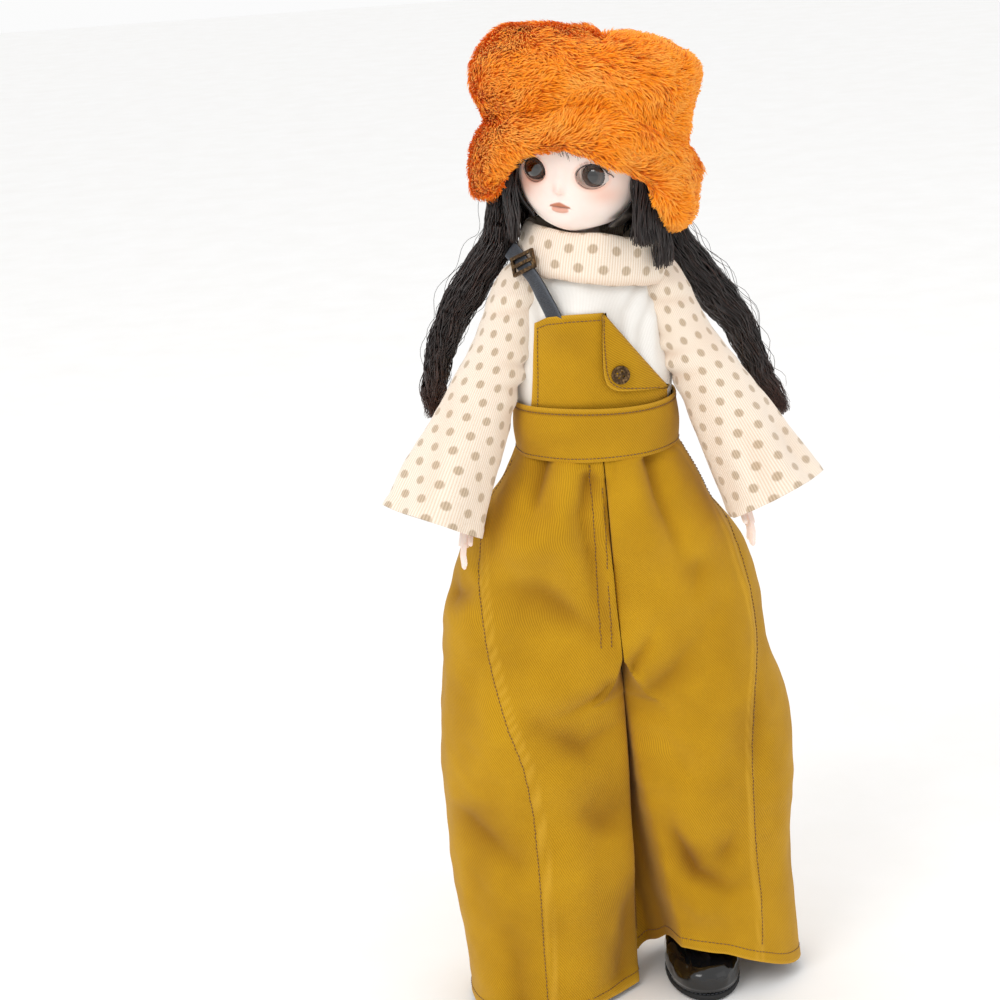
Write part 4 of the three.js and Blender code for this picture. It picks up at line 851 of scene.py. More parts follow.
def make_trousers():
    for side, word in SIDES:
        points, crease, worn, levels = trouser_half(side)
        normals = grid_normals(points, True)
        closed = np.concatenate([points, points[:, :1]], 1)
        run = np.concatenate([np.zeros((len(levels), 1)),
                              np.cumsum(np.linalg.norm(np.diff(closed, axis=1), axis=-1), 1)], 1)
        outer = int(np.argmax(side * points[60, :, 0]))
        run = run - run[:, outer:outer + 1]
        uv = np.stack([run, np.broadcast_to(levels[:, None], run.shape)], -1)
        threads = []
        line = np.array(SIDE_SEAMS[side], float)
        seam_z = np.arange(levels[0] + 0.5, levels[-1] - 0.5, 1.0)
        seam_x = curve(line[::-1, 1], line[::-1, 0], seam_z)
        route, ways = front_point(points, normals, seam_x + 1.15 * side, seam_z)
        threads.append(stitches(route, ways))
        if side < 0:
            fly_z = np.arange(124, levels[-1] - 0.5, 1.0)
            for fly_x in (-0.9, -4.3):
                route, ways = front_point(points, normals, np.full(len(fly_z), fly_x), fly_z)
                threads.append(stitches(route, ways))
        row = int(np.argmin(np.abs(levels - levels[0] - 3.1)))
        threads.append(round_stitches(points, normals, row))
        threads = np.concatenate(threads)
        thread_z = threads[:, 2, 2]
        cuts = [int(np.argmin(np.abs(levels - c))) for c in LEG_CUTS]
        parts = [
            ("hip", cuts[0], len(levels) - 1, "pelvis", f"hip_ball_{word}", 178, 152),
            ("thigh", cuts[1], cuts[0], f"hip_ball_{word}", f"thigh_{word}", 149, 122),
            ("knee", cuts[2], cuts[1], f"thigh_{word}", f"knee_link_{word}", 104.5, 89.5),
            ("shin", 0, cuts[2], f"knee_link_{word}", f"shin_{word}", 88.5, 72),
        ]
        for label, low, high, first, second, start, end in parts:
            rows = slice(low, high + 1)
            body = shell(f"trousers_{label}_{word}", points[rows], 0.75, True, uv[rows], normals[rows],
                         TRIM, {"crease": crease[rows], "edge": worn[rows]})
            low_z = -99 if low == 0 else levels[low]
            held = threads[(thread_z >= low_z) & (thread_z < levels[high])]
            body = sew(body, held)
            if side < 0 and label == "hip":
                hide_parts("trousers")
            sheet_piece(body, first, second)


make_trousers()


# Sweater
SWEATER_BASE, SWEATER_HEIGHT = 181.7, 62.0
SWEATER_WIDE, SWEATER_DEEP = 21.5, 18.0  # half its width and half its depth at the chest
COLLAR_WIDE, COLLAR_DEEP = 21.5, 17.5
SLEEVE_LOW, SLEEVE_HIGH = -72.0, 10.4  # along the arm, from the shoulder
SLEEVE_CUTS = (1.5, -14.0, -36.0)
NECK_Z, SHOULDER_Z, WAIST_Z, HEAD_Z = 241.686, 231.686, 205.686, 258.686
SHOULDER_X = 21.5
ELBOW_HIGH, ELBOW_LOW, WRIST = -33.0, -40.0, -69.0  # along the arm, from the shoulder
CORD_LEVELS = (241.7, 205.7, 149.7, 89.8, 80.9, 21.0)  # neck, waist, hip, both hinges of the knee, ankle


def sweater_size(z):
    """Half the width and half the depth at the height z."""
    share = (np.asarray(z, float) - SWEATER_BASE) / SWEATER_HEIGHT
    table = np.array([
        [1.04, 0.98], [1.09, 1.0], [1.14, 1.03], [1.15, 1.03], [1.06, 1.01], [1, 0.97], [0.86, 0.82],
        [0.66, 0.7], [0.54, 0.6],
    ])
    both = curve([0, 0.24, 0.34, 0.42, 0.56, 0.75, 0.88, 0.96, 1], table, share)
    return both[..., 0] * SWEATER_WIDE, both[..., 1] * SWEATER_DEEP


def on_sweater(x, z, lift):
    """The place that far in front of the sweater, for x and z on its front."""
    wide, deep = sweater_size(z)
    part = np.clip(np.abs(x) / (wide + lift), 0, 0.999)
    return np.stack([x, -(deep + lift) * np.sqrt(1 - part**2), z + 0 * x], -1)


def tube_grid(levels, columns, wide, deep, centre=(0, 0), power=2.1):
    turn = np.arange(columns) * TAU / columns
    x = rounded(np.cos(turn)[None], power) * wide[:, None] + np.asarray(centre[0])
    y = rounded(np.sin(turn)[None], power) * deep[:, None] + np.asarray(centre[1])
    return np.stack([x, y, np.broadcast_to(levels[:, None], x.shape)], -1)


def make_sweater():
    levels = np.concatenate([np.linspace(182.5, WAIST_Z, 24)[:-1], np.linspace(WAIST_Z, 243.0, 40)])
    wide, deep = sweater_size(levels)
    points = tube_grid(levels, 128, wide, deep, power=2.05)
    out = grid_normals(points, True)
    x, z = points[..., 0], points[..., 2]
    folds = value_noise(np.stack([x, points[..., 1], z * 0.22], -1), 5.5, 31)
    armpit = np.zeros_like(x)
    for line, height, width in (
        ([(19, 232), (14, 222), (12, 210)], -0.9, 1.6), ([(15, 236), (9, 228), (7, 216)], -0.7, 1.5),
        ([(-18, 232), (-16, 220), (-17, 208)], -0.9, 1.6), ([(18, 224), (17, 212), (18, 204)], 0.8, 1.6),
    ):
        far, run = distance_to_line(x, z, line)
        armpit += height * np.exp(-(far / width) ** 2) * (1 - 0.5 * run) * (points[..., 1] < 0)
    move = folds * 0.55 + armpit
    points = points + out * (move * smoothstep(183, 190, z))[..., None]
    normals = grid_normals(points, True)
    # painted shade: darker where the folds and armpit creases push inward
    crease = np.clip(-move / 1.4, 0, 1)
    uv = grid_uv(points, True)
    middle = 23
    for label, rows, first, second, start, end in (
        ("low", slice(0, middle + 1), "pelvis", "waist_ball", 192, 205),
        ("top", slice(middle, None), "waist_ball", "chest", 206, 216),
    ):
        part = shell(f"sweater_{label}", points[rows], 0.6, True, uv[rows], normals[rows], (JERSEY,),
                     {"crease": crease[rows]})
        if label == "top":
            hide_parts("sweater_body")
        sheet_piece(part, first, second)


def make_collar():
    turns = 160
    turn = np.arange(turns) * TAU / turns
    profile = np.array([  # share of the radius, and height, from inside over the fold and down outside
        [0.80, 1.5], [0.79, 5], [0.79, 9], [0.81, 12], [0.85, 13.8], [0.905, 14.3], [0.955, 13.6],
        [0.99, 11.4], [1.015, 8.2], [1.03, 4.8], [1.03, 2.2], [1.015, 0.7], [0.985, 0.25], [0.955, 0.9],
        [0.93, 2.4], [0.88, 2.2],
    ])
    loop = np.concatenate([profile, profile[:1]])
    fine = along(np.column_stack([loop * [COLLAR_WIDE, 1], np.zeros(len(loop))]), 57)[:-1, :2]
    r, z = fine[:, 0][:, None], fine[:, 1][:, None]
    wave = value_noise(np.stack([np.cos(turn) * 20, np.sin(turn) * 20, 0 * turn], -1), 9, 41)[None]
    wave2 = value_noise(np.stack([np.cos(turn) * 20, np.sin(turn) * 20, 0 * turn + 40], -1), 5, 42)[None]
    outer = (r > 19.6) * 1.0
    radius = r + outer * (0.5 * wave + 0.35 * wave2)
    rise = z + 0.5 * wave * (z > 8) + 0.35 * wave2 * (z < 4) * outer
    x = radius * np.cos(turn)
    y = radius * np.sin(turn) * COLLAR_DEEP / COLLAR_WIDE
    zz = NECK_Z - 4.67 + rise * 1.08
    lean = math.radians(9)
    x = x * 1.04 + 1.6
    px = x * math.cos(lean) + (zz - NECK_Z) * math.sin(lean)
    pz = -x * math.sin(lean) + (zz - NECK_Z) * math.cos(lean) + NECK_Z
    points = np.stack([px, y, pz], -1)
    count, columns = points.shape[:2]
    quads, open_quads = grid_faces(count + 1, columns, True)
    quads = quads % (count * columns)
    run = np.concatenate([[0], np.cumsum(np.linalg.norm(np.diff(fine, axis=0, append=fine[:1]), axis=1))])
    uv = np.stack(np.broadcast_arrays((np.arange(columns + 1) * TAU / columns * 20)[None], run[:, None]), -1)
    # painted shade: darker along the underside of the roll, where it turns back against the sweater
    crease = np.broadcast_to(np.exp(-((z - 0.8) / 1.2) ** 2) * outer * 0.6 + 0 * turn[None], (count, columns))
    corner_uv = uv.reshape(-1, 2)[open_quads[:, ::-1]].reshape(-1, 2)
    made = mesh_object("collar", points.reshape(-1, 3), [quads[:, ::-1]], corner_uv, materials=(KNIT,),
                       values={"crease": crease.ravel()})
    fit(made, "sweater_collar", "chest")


def arm_turn(side):
    return turn_about("x", -15) @ turn_about("y", -side * 17)


def in_arm(points, side):
    """From the arm's own frame, with the shoulder at its origin, to the doll's."""
    return np.asarray(points, float) @ arm_turn(side).T + [side * SHOULDER_X, 0, SHOULDER_Z]


def make_sleeve(side, word):
    cuts = SLEEVE_CUTS
    bands = [np.linspace(SLEEVE_LOW, cuts[2], 60)[:-1], np.linspace(cuts[2], cuts[1], 26)[:-1],
             np.linspace(cuts[1], cuts[0], 20)[:-1], np.linspace(cuts[0], SLEEVE_HIGH, 12)]
    levels = np.concatenate(bands)
    table = np.array([
        [10.4, 15.7, 15.2], [9.2, 14.6, 14.3], [7.4, 13.2, 12.8], [4.5, 10.8, 10.4], [1.3, 9.0, 8.8],
        [0.3, 8.5, 8.5], [0, 7.0, 7.3], [0, 4.2, 4.4],
    ])
    sizes = curve([SLEEVE_LOW, -63, -51, -32, -13.5, 0, 7, SLEEVE_HIGH], table, levels)
    columns = 132
    turn = np.arange(columns) * TAU / columns
    points = tube_grid(levels, columns, sizes[:, 1], sizes[:, 2], (side * sizes[:, :1], 0), 2.0)
    out = grid_normals(points, True)
    z = points[..., 2]
    bell = smoothstep(-30, SLEEVE_LOW, z)
    away = turn[None] if side > 0 else math.pi - turn[None]
    away = np.broadcast_to(away, z.shape)
    lobes = np.cos(5 * away + 0.8 + 0.4 * np.sin(2 * away)) * 0.8 + np.cos(3 * away - 1.1) * 0.9
    soft = value_noise(points * [1, 1, 0.35], 7.0, 51 + side)
    ruck = np.zeros_like(z)  # folds across the arm, each on one side of it
    for at, height, width, angle, spread in (
        (-12, -1.1, 1.9, 2.7, 1.0), (-19, -1.3, 1.7, 3.1, 1.0), (-26, -1.2, 1.9, 2.9, 1.1),
        (-15.5, 0.9, 2.2, 2.8, 1.1), (-22.5, 1.1, 2.2, 3.0, 1.2), (-34, -0.8, 3.0, 2.5, 1.0),
        (-5, -0.8, 1.8, -1.7, 1.0), (-1, 0.6, 2.0, -1.4, 1.2),
    ):
        gap = (away - angle + math.pi) % TAU - math.pi
        ruck += height * np.exp(-((z - at + 2.5 * np.sin(gap)) / width) ** 2) * np.exp(-(gap / spread) ** 2)
    hem_edge = smoothstep(-68.6, -69.4, z)
    small = value_noise(points, 3.6, 61 + side)
    move = lobes * bell * 1.0 + soft * (0.35 + 0.6 * bell) + ruck + small * 0.16
    points = points + out * (move + 0.22 * hem_edge)[..., None]
    points[..., 2] += 1.7 * bell**2 * np.cos(away) - 1.2 * bell**2
    doll = in_arm(points, side)
    normals = grid_normals(doll, True)
    # painted shade: darker in the folds across the arm and in the soft hollows
    crease = np.clip(-(ruck + soft * 0.5) / 1.6, 0, 1)
    run = np.concatenate([[0], np.cumsum(np.full(columns, TAU * 12.4 / columns))])
    uv = np.stack(np.broadcast_arrays(run[None] + 0 * levels[:, None], levels[:, None] * 1.02), -1)
    index = [int(np.argmin(np.abs(levels - c))) for c in cuts]
    for label, low, high, first, second, start, end in (
        ("cap", index[0], len(levels) - 1, "chest", f"shoulder_ball_{word}", 9, 2),
        ("top", index[1], index[0], f"shoulder_ball_{word}", f"upper_arm_{word}", 1, -12),
        ("middle", index[2], index[1], f"upper_arm_{word}", f"elbow_link_{word}", -26, -36),
        ("bell", 0, index[2], f"elbow_link_{word}", f"forearm_{word}", -37, -50),
    ):
        rows = slice(low, high + 1)
        part = shell(f"sleeve_{label}_{word}", doll[rows], 0.6, True, uv[rows], normals[rows], (KNIT,),
                     {"crease": crease[rows]})
        if label == "middle":
            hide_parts(f"sleeve_{word}")
        sheet_piece(part, first, second)


# Waistband, bib, strap
def make_waistband():
    height = BAND_TOP - BAND_BASE
    rows = np.linspace(0, 1, 40)
    levels = BAND_BASE + rows * height
    wide = curve([0, 0.1, 0.5, 0.9, 1], [25.0, 25.5, 25.9, 25.3, 24.9], rows)
    deep = curve([0, 0.1, 0.5, 0.9, 1], [21.2, 21.7, 22.0, 21.4, 21.1], rows)
    points = tube_grid(levels, 176, wide, deep, power=2.1)
    out = grid_normals(points, True)
    z = points[..., 2]
    move = value_noise(points * [1, 1, 0.5], 13, 71) * 0.5 + value_noise(points, 5, 72) * 0.12
    piping = np.exp(-((z - BAND_TOP + 0.7) / 0.6) ** 4) * 0.4
    piping = piping + np.exp(-((z - BAND_BASE - 0.5) / 0.6) ** 4) * 0.25
    points = points + out * (move + piping)[..., None]
    points[..., 2] += 0.5 * np.sin(np.arctan2(points[..., 1], points[..., 0]) * 2) * rows[:, None]
    normals = grid_normals(points, True)
    worn = smoothstep(BAND_TOP - 1.2, BAND_TOP - 0.2, z) + smoothstep(BAND_BASE + 0.8, BAND_BASE, z) * 0.5
    worn = np.clip(worn, 0, 1)
    # painted shade: a dark line just under the piping at the top of the band
    crease = np.exp(-((z - BAND_TOP + 1.9) / 0.35) ** 2) * 0.7
    band = shell("waistband_cloth", points, 1.6, True, grid_uv(points, True), normals, TRIM,
                 {"crease": crease, "edge": worn * 0.7})
    band = sew(band, np.concatenate([round_stitches(points, normals, row, 1.15) for row in (3, 35)]))
    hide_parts("waistband")
    sheet_piece(band, "pelvis")


BIB_BASE = 198.0
BIB_EDGE = ([0, 25.2, 31.2], [-20.6, -18.2, -17.6])  # x of its straight edge, by height


def bib_grid():
    v, u = np.linspace(0, 1, 44)[:, None], np.linspace(0, 1, 70)[None]
    top = curve([0, 0.2, 0.5, 1], [27.8, 30.1, 30.7, 30.6], u)
    z = v * top
    left = curve(*BIB_EDGE, z)
    right = np.interp(z, [0, 4.6, 30.7], [21.8, 21.8, 2.6])
    x = left + u * (right - left)
    return x, z + BIB_BASE


def make_bib():
    x, z = bib_grid()
    lift = 1.15 - 0.3 * smoothstep(BIB_BASE + 4, BIB_BASE + 1, z)
    lift = lift + 0.35 * value_noise(np.stack([x, z, 0 * x], -1), 8, 81)
    lift = lift + 1.1 * np.exp(-((x + 11.5) / 4.5) ** 2) * smoothstep(216, 225, z)
    points = on_sweater(x, z, lift)
    normals = grid_normals(points)
    rise = z - BIB_BASE
    edge_far = np.minimum(np.abs(x - curve(*BIB_EDGE, rise)), np.abs(30.4 - rise))
    worn = smoothstep(0.9, 0.1, edge_far)
    uv = np.stack([x * 1.02, z], -1)
    full = shell("bib_cloth", points, 0.75, False, uv, normals, TRIM, {"edge": worn, "crease": 0 * x})
    route = np.concatenate([points[2:-3, 3], points[-4, 4:-3]])
    ways = np.concatenate([normals[2:-3, 3], normals[-4, 4:-3]])
    full = sew(full, stitches(route, ways), 0.14)
    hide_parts("bib")
    sheet_piece(full, "waist_ball", "chest", (0.0415, 0.0305))

    s, w = np.linspace(0, 1, 60)[:, None], np.linspace(0, 1, 40)[None]
    diagonal = np.array([[2.6, 30.8], [22.0, 4.8]])  # where the corner folds over, and below it the free edge
    px, pz = (diagonal[0, i] + s * (diagonal[1, i] - diagonal[0, i]) for i in (0, 1))
    free = along(np.array([[2.6, 30.8, 0], [1.7, 21.2, 0], [1.5, 13.2, 0], [2.3, 9.2, 0], [5.5, 6.8, 0],
                           [12, 6.0, 0], [22.0, 4.8, 0]]), 60)
    qx, qz = free[:, :1], free[:, 1:2]
    fx, fz = px + (qx - px) * w, pz + (qz - pz) * w + BIB_BASE
    rise = curve([0, 0.06, 0.2, 0.7, 1], [1.5, 2.5, 2.75, 2.3, 2.5], w) + 0 * s
    rise = rise + 0.5 * np.sin(s * math.pi) ** 2 * w**3
    rise = rise + 0.3 * value_noise(np.stack([fx, fz, 0 * fx], -1), 6, 83)
    flap = on_sweater(fx, fz, rise)
    flap_normals = grid_normals(flap)
    worn = smoothstep(0.94, 1.0, w) + 0 * s
    lapel = shell("bib_lapel_cloth", flap, 0.7, False, np.stack([fz, fx], -1), flap_normals, TRIM,
                  {"edge": worn, "crease": 0 * fx})
    column = int(np.argmin(np.abs(w[0] - 0.9)))
    lapel = sew(lapel, stitches(flap[3:-3, column], flap_normals[3:-3, column]), 0.14)
    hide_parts("bib_lapel")
    sheet_piece(lapel, "chest", flat=(0.0325, 0.0185))


STRAP_HALF = 2.6
STRAP = [
    (-10.2, -16.3, 220.0), (-12.0, -16.4, 227.0), (-14.9, -16.2, 234.0), (-17.5, -13.1, 239.4),
    (-19.6, -9.9, 242.6), (-21.7, -5.5, 245.4), (-23.2, -0.7, 246.8), (-22.3, 5.0, 245.6),
    (-20.2, 9.6, 241.6), (-14.8, 15.0, 231.6), (-10.8, 18.6, 222.0), (-7.0, 20.2, 212.5),
    (-2.4, 20.6, 203.5), (0.8, 20.4, 199.4),
]


def make_strap():
    path = along(STRAP, 130)
    way = unit(np.gradient(path, axis=0))
    out = path * [1, 1, 0]
    out = unit(out) + np.array([0, 0, 1]) * smoothstep(240, 248, path[:, 2:3]) * 0.9
    out = unit(out - way * (out * way).sum(1, keepdims=True))
    across = np.cross(way, out)
    half = np.linspace(-1, 1, 13)
    bow = 0.18 * (1 - half**2)
    points = path[:, None] + across[:, None] * half[None, :, None] * STRAP_HALF
    points = points + out[:, None] * bow[None, :, None]
    normals = grid_normals(points)
    edge = np.broadcast_to(np.abs(half) ** 6, points.shape[:2])
    strap = shell("strap_leather_band", points, 0.8, False, None, normals, (LEATHER,), {"edge": edge})
    fit(strap, "strap", "chest")


make_sweater()
make_collar()
for side, word in SIDES:
    make_sleeve(side, word)
make_waistband()
make_bib()
make_strap()


# Hat
HEAD_TURN = turn_about("y", 10) @ turn_about("z", -16)
HAT_RADIUS, HAT_TOP = 32.6, 52.6


def in_head(points):
    """From the turned head's frame, with the top of the neck at its origin, to the doll's."""
    return np.asarray(points, float) @ HEAD_TURN.T + [0, 0, HEAD_Z]


def around(turn, angles, values):
    """A smooth closed table over a whole turn, in degrees."""
    angles = np.asarray(angles, float)
    values = np.asarray(values, float)
    reach = np.concatenate([angles - 360, angles, angles + 360])
    return curve(reach, np.tile(values, 3), np.degrees(turn))


def ribbons(name, paths, widths, facing, materials, values):
    """Flat narrow blades along many paths, each lying against the surface it grows from."""
    count, steps = paths.shape[:2]
    way = unit(np.gradient(paths, axis=1))
    across = unit(np.cross(way, facing[:, None]))
    half = widths[..., None] * across
    pair = np.stack([paths - half, paths + half], 2)
    base = (np.arange(count) * steps * 2)[:, None] + np.arange(steps - 1)[None] * 2
    faces = np.stack([base, base + 1, base + 3, base + 2], -1).reshape(-1, 4)
    spread = {k: np.repeat(np.broadcast_to(v, (count, steps)), 2, axis=1).ravel() for k, v in values.items()}
    return mesh_object(name, pair.reshape(-1, 3), [faces], materials=materials, values=spread)


def hat_grid():
    columns = 220
    turn = -math.pi + np.arange(columns) * TAU / columns
    # how high the cuff's edge and its fold are, by degrees round it: -90 is the front, 0 the doll's left
    low = around(turn,
                 [-170, -150, -136, -131.4, -125, -119, -110, -101, -93, -84, -75, -63, -51, -39, -27, -17,
                  0, 20, 60, 90, 140],
                 [1.5, 2.2, 2.8, 6.0, 10.3, 13.6, 16.8, 18.4, 19.8, 18.9, 17.6, 16.1, 13.7, 10.1, 5.8, 2.5,
                  -1, -3, -5, -5.5, -3])
    fold = around(turn, [-165, -146, -127, -104, -90, -81, -67, -48, -29, 0, 40, 90, 140, 180],
                  [21, 22.8, 25.7, 28.9, 30.9, 31.5, 30.7, 27.9, 24.6, 21.5, 20, 19, 19.5, 20])
    # the cuff's section, from the inside: how far out, and its share of the way from the edge to the fold
    profile = along(np.array([
        [-6.8, 0.42, 0], [-6.2, 0.2, 0], [-4.9, 0.03, 0], [-3.1, -0.04, 0], [-1.2, 0.01, 0], [0.3, 0.14, 0],
        [1.2, 0.4, 0], [1.2, 0.7, 0], [0.5, 0.9, 0], [-0.5, 1.0, 0], [-1.2, 1.05, 0],
    ]) * [1, 14, 1], 44) / [1, 14, 1]
    cuff_out, cuff_rise = profile[:, 0][:, None], profile[:, 1][:, None]
    cuff_z = low[None] + cuff_rise * (fold - low)[None]
    crown_share = np.linspace(0, 1, 62)[1:, None]
    start = cuff_z[-1][None]
    crown_z = start + (HAT_TOP - start) * np.sin(crown_share * math.pi / 2) ** 1.15
    z = np.concatenate([cuff_z, crown_z])
    crown_out = -1.2 * (1 - smoothstep(0, 0.3, crown_share))
    out = np.concatenate([cuff_out, crown_out]) + 0 * turn[None]
    share = (z + 6) / 55.5
    table = np.array([
        [0.9, 0.9], [1, 1], [0.985, 0.97], [0.955, 0.95], [0.975, 0.95], [1.0, 0.88], [0.97, 0.78],
        [0.87, 0.6], [0.74, 0.42],
    ])
    size = curve([0, 0.14, 0.36, 0.46, 0.66, 0.82, 0.92, 1.01, 1.06], table, np.clip(share, 0, 1.06))
    dome = np.cos(np.linspace(0, 1, 18) * math.pi / 2) ** 0.7
    close = np.concatenate([np.ones(len(z) - 18), dome])[:, None]
    wide = (size[..., 0] * HAT_RADIUS + out) * close
    deep = (size[..., 1] * HAT_RADIUS + out) * close
    x = rounded(np.cos(turn)[None], 2.6) * wide
    y = rounded(np.sin(turn)[None], 2.6) * deep - 3
    z = z - 1.6 * np.exp(-((x - 1) / 3.5) ** 2) * smoothstep(0.8, 1.05, share)
    z = z - 2.0 * smoothstep(14, 30, x) * share**4
    bulge = np.exp(-((z - 37) / 13) ** 2)
    x = x - 4.6 * bulge * smoothstep(0, 30, -x) - 3.0 * bulge * smoothstep(5, 30, x)
    x = x + 1.3 * np.exp(-((z - 24) / 4) ** 2) * smoothstep(-15, -30, x)
    points = np.stack([x, y, z], -1)
    lumps = value_noise(points, 14, 91) * 1.2 + value_noise(points, 6.5, 92) * 0.55
    points = points + grid_normals(points, True) * lumps[..., None]
    return points


def make_hat():
    points = hat_grid()
    doll = in_head(points)
    normals = grid_normals(doll, True)
    rows, columns = points.shape[:2]
    quads, _ = grid_faces(rows, columns, True)
    flat = doll.reshape(-1, 3)
    skin = flat - normals.reshape(-1, 3) * 0.8
    below, above = end_caps(rows, columns)
    base = mesh_object("hat_cloth", skin, [quads, above, below], materials=(FUR,),
                       values={"shade": np.full(len(flat), 0.55), "tip": np.full(len(flat), 0.4)})
    rng = np.random.default_rng(5)
    corners = flat[quads]
    area = np.linalg.norm(np.cross(corners[:, 2] - corners[:, 0], corners[:, 3] - corners[:, 1]), axis=1)
    row_of = np.arange(len(quads)) // columns
    area = area * np.where(row_of < 10, 0.35, np.where(row_of < 40, 1.15, 1.0))
    pick = rng.choice(len(quads), 57000, p=area / area.sum())
    a, b = rng.random((2, len(pick), 1))
    lower = corners[pick, 0] * (1 - a) + corners[pick, 1] * a
    higher = corners[pick, 3] * (1 - a) + corners[pick, 2] * a
    root = lower * (1 - b) + higher * b
    out = normals.reshape(-1, 3)[quads[pick, 0]]
    root = root - out * 0.7
    up = unit(corners[pick, 3] - corners[pick, 0])
    side = unit(np.cross(up, out))
    flow = value_noise(root, 16, 93) * 1.3 + value_noise(root, 6, 94) * 0.8
    lip = np.clip((12 - row_of[pick]) / 8, 0, 1)
    angle = flow + rng.normal(0, 0.22, len(pick)) - 0.25
    heading = side * np.cos(angle)[:, None] + up * (np.sin(angle) - 0.5 * lip)[:, None]
    heading = unit(heading)
    length = rng.uniform(2.2, 4.6, len(pick)) * (1 - 0.4 * lip)
    rise = rng.uniform(0.5, 1.6, len(pick)) * (1 + 0.5 * value_noise(root, 5, 96))
    sway = np.cross(out, heading) * (value_noise(root, 4, 97) * 0.9)[:, None]
    steps = np.array([0, 0.33, 0.68, 1.0])
    path = (root[:, None] + heading[:, None] * (length[:, None] * steps)[..., None]
            + out[:, None] * (rise[:, None] * np.sin(steps * 1.9) + 0.3 * steps)[..., None]
            + sway[:, None] * (steps**2)[None, :, None])
    widths = np.array([0.17, 0.2, 0.13, 0.02])[None] * rng.uniform(0.8, 1.3, (len(pick), 1))
    # painted shade: the blades along the groove where the cuff meets the crown are darker
    cuff_groove_shade = np.exp(-((row_of[pick] - 44) / 3.0) ** 2)
    shade = 0.55 + 0.3 * value_noise(root, 5, 98) + rng.normal(0, 0.13, len(pick)) - 0.35 * cuff_groove_shade
    shade = np.clip(shade, 0, 1)
    roll = unit(out + np.cross(heading, out) * rng.normal(0, 0.5, (len(pick), 1)))
    fur = ribbons("fur", path, widths, roll, (FUR,), {"shade": shade[:, None], "tip": steps[None]})
    hat = join_objects("fur_hat_plush", [base, fur])
    fit(hat, "fur_hat", "hat")


make_hat()


# Face
FACE_TURN = turn_about("z", -9.9) @ turn_about("x", 8.2) @ turn_about("y", -1.8)
FACE_CENTRE = np.array([0.0, -3.0, 18.0])
EYE_X, EYE_Z = 9.25, 14.9
EYE_WIDE, EYE_HIGH = 4.25, 3.75
EYE_BALL, IRIS = 6.2, 3.85
HEAD_WIDE, HEAD_DEEP, HEAD_BACK = 23.0, 24.5, -3.0


def in_face(points):
    """From the face's frame to the doll's."""
    return in_head((np.asarray(points, float) - FACE_CENTRE) @ FACE_TURN.T + FACE_CENTRE)


def head_size(z):
    """Half the width and half the depth at the height z, and how far back the middle is."""
    table = np.array([
        [0.26, 0.3, -0.155], [0.5, 0.56, -0.11], [0.8, 0.82, -0.045], [0.96, 0.95, -0.01], [1, 1, 0],
        [0.93, 0.94, 0.01], [0.69, 0.71, 0.02], [0.3, 0.3, 0.02],
    ])
    both = curve([0, 0.05, 0.18, 0.35, 0.55, 0.75, 0.9, 1], table, (np.asarray(z, float) + 4) / 48)
    return both[..., 0] * HEAD_WIDE, both[..., 1] * HEAD_DEEP, both[..., 2] * 2 * HEAD_DEEP + HEAD_BACK


def face_paint():
    p = Paint("face_resin", 0.42, Subsurface_Weight=0.12, Subsurface_Scale=0.0015,
              Subsurface_Radius=RESIN_RADIUS, Specular_IOR_Level=0.4)
    colour = p.mix(p.noise(6, 3), rgb("fbeee6"), rgb("f5e0d5"))
    colour = p.mix(p.value("blush"), colour, rgb("eeaf94"))
    colour = p.mix(p.value("lip"), colour, rgb("dd9478"))
    colour = p.mix(p.value("upper"), colour, rgb("b4602f"))
    colour = p.mix(p.value("line"), colour, rgb("6b3322"))
    roughness = p.ramp(p.noise(3, 2), (0.3, 0.38), (0.7, 0.5))
    return p.done(colour, p.bump(p.noise(0.5, 3, 0.6), 0.06, 0.04), roughness)


def glass_paint():
    p = Paint("eye_glass", 0.08, Coat_Weight=1.0, Coat_Roughness=0.03, Specular_IOR_Level=0.5)
    streaks = p.math("MULTIPLY_ADD", p.noise(0.35, 3, 0.6), 0.22, p.math("ADD", p.value("iris"), -0.11))
    colour = p.ramp(
        streaks, (0.0, rgb("050404")), (0.42, rgb("070606")), (0.47, rgb("2b2523")), (0.72, rgb("4b423d")),
        (0.88, rgb("2a2422")), (0.97, rgb("151110")), (1.04, rgb("8d837d")), (1.25, rgb("cdc4be")),
    )
    return p.done(colour, p.bump(p.noise(2, 2), 0.02, 0.01))


FACE = face_paint()
GLASS = glass_paint()


def bell(x, z, cx, cz, wide, high):
    return np.exp(-((x - cx) / wide) ** 2 - ((z - cz) / high) ** 2)


def eye_share(x, z, side):
    return np.hypot((x - side * EYE_X) / EYE_WIDE, (z - EYE_Z) / EYE_HIGH)


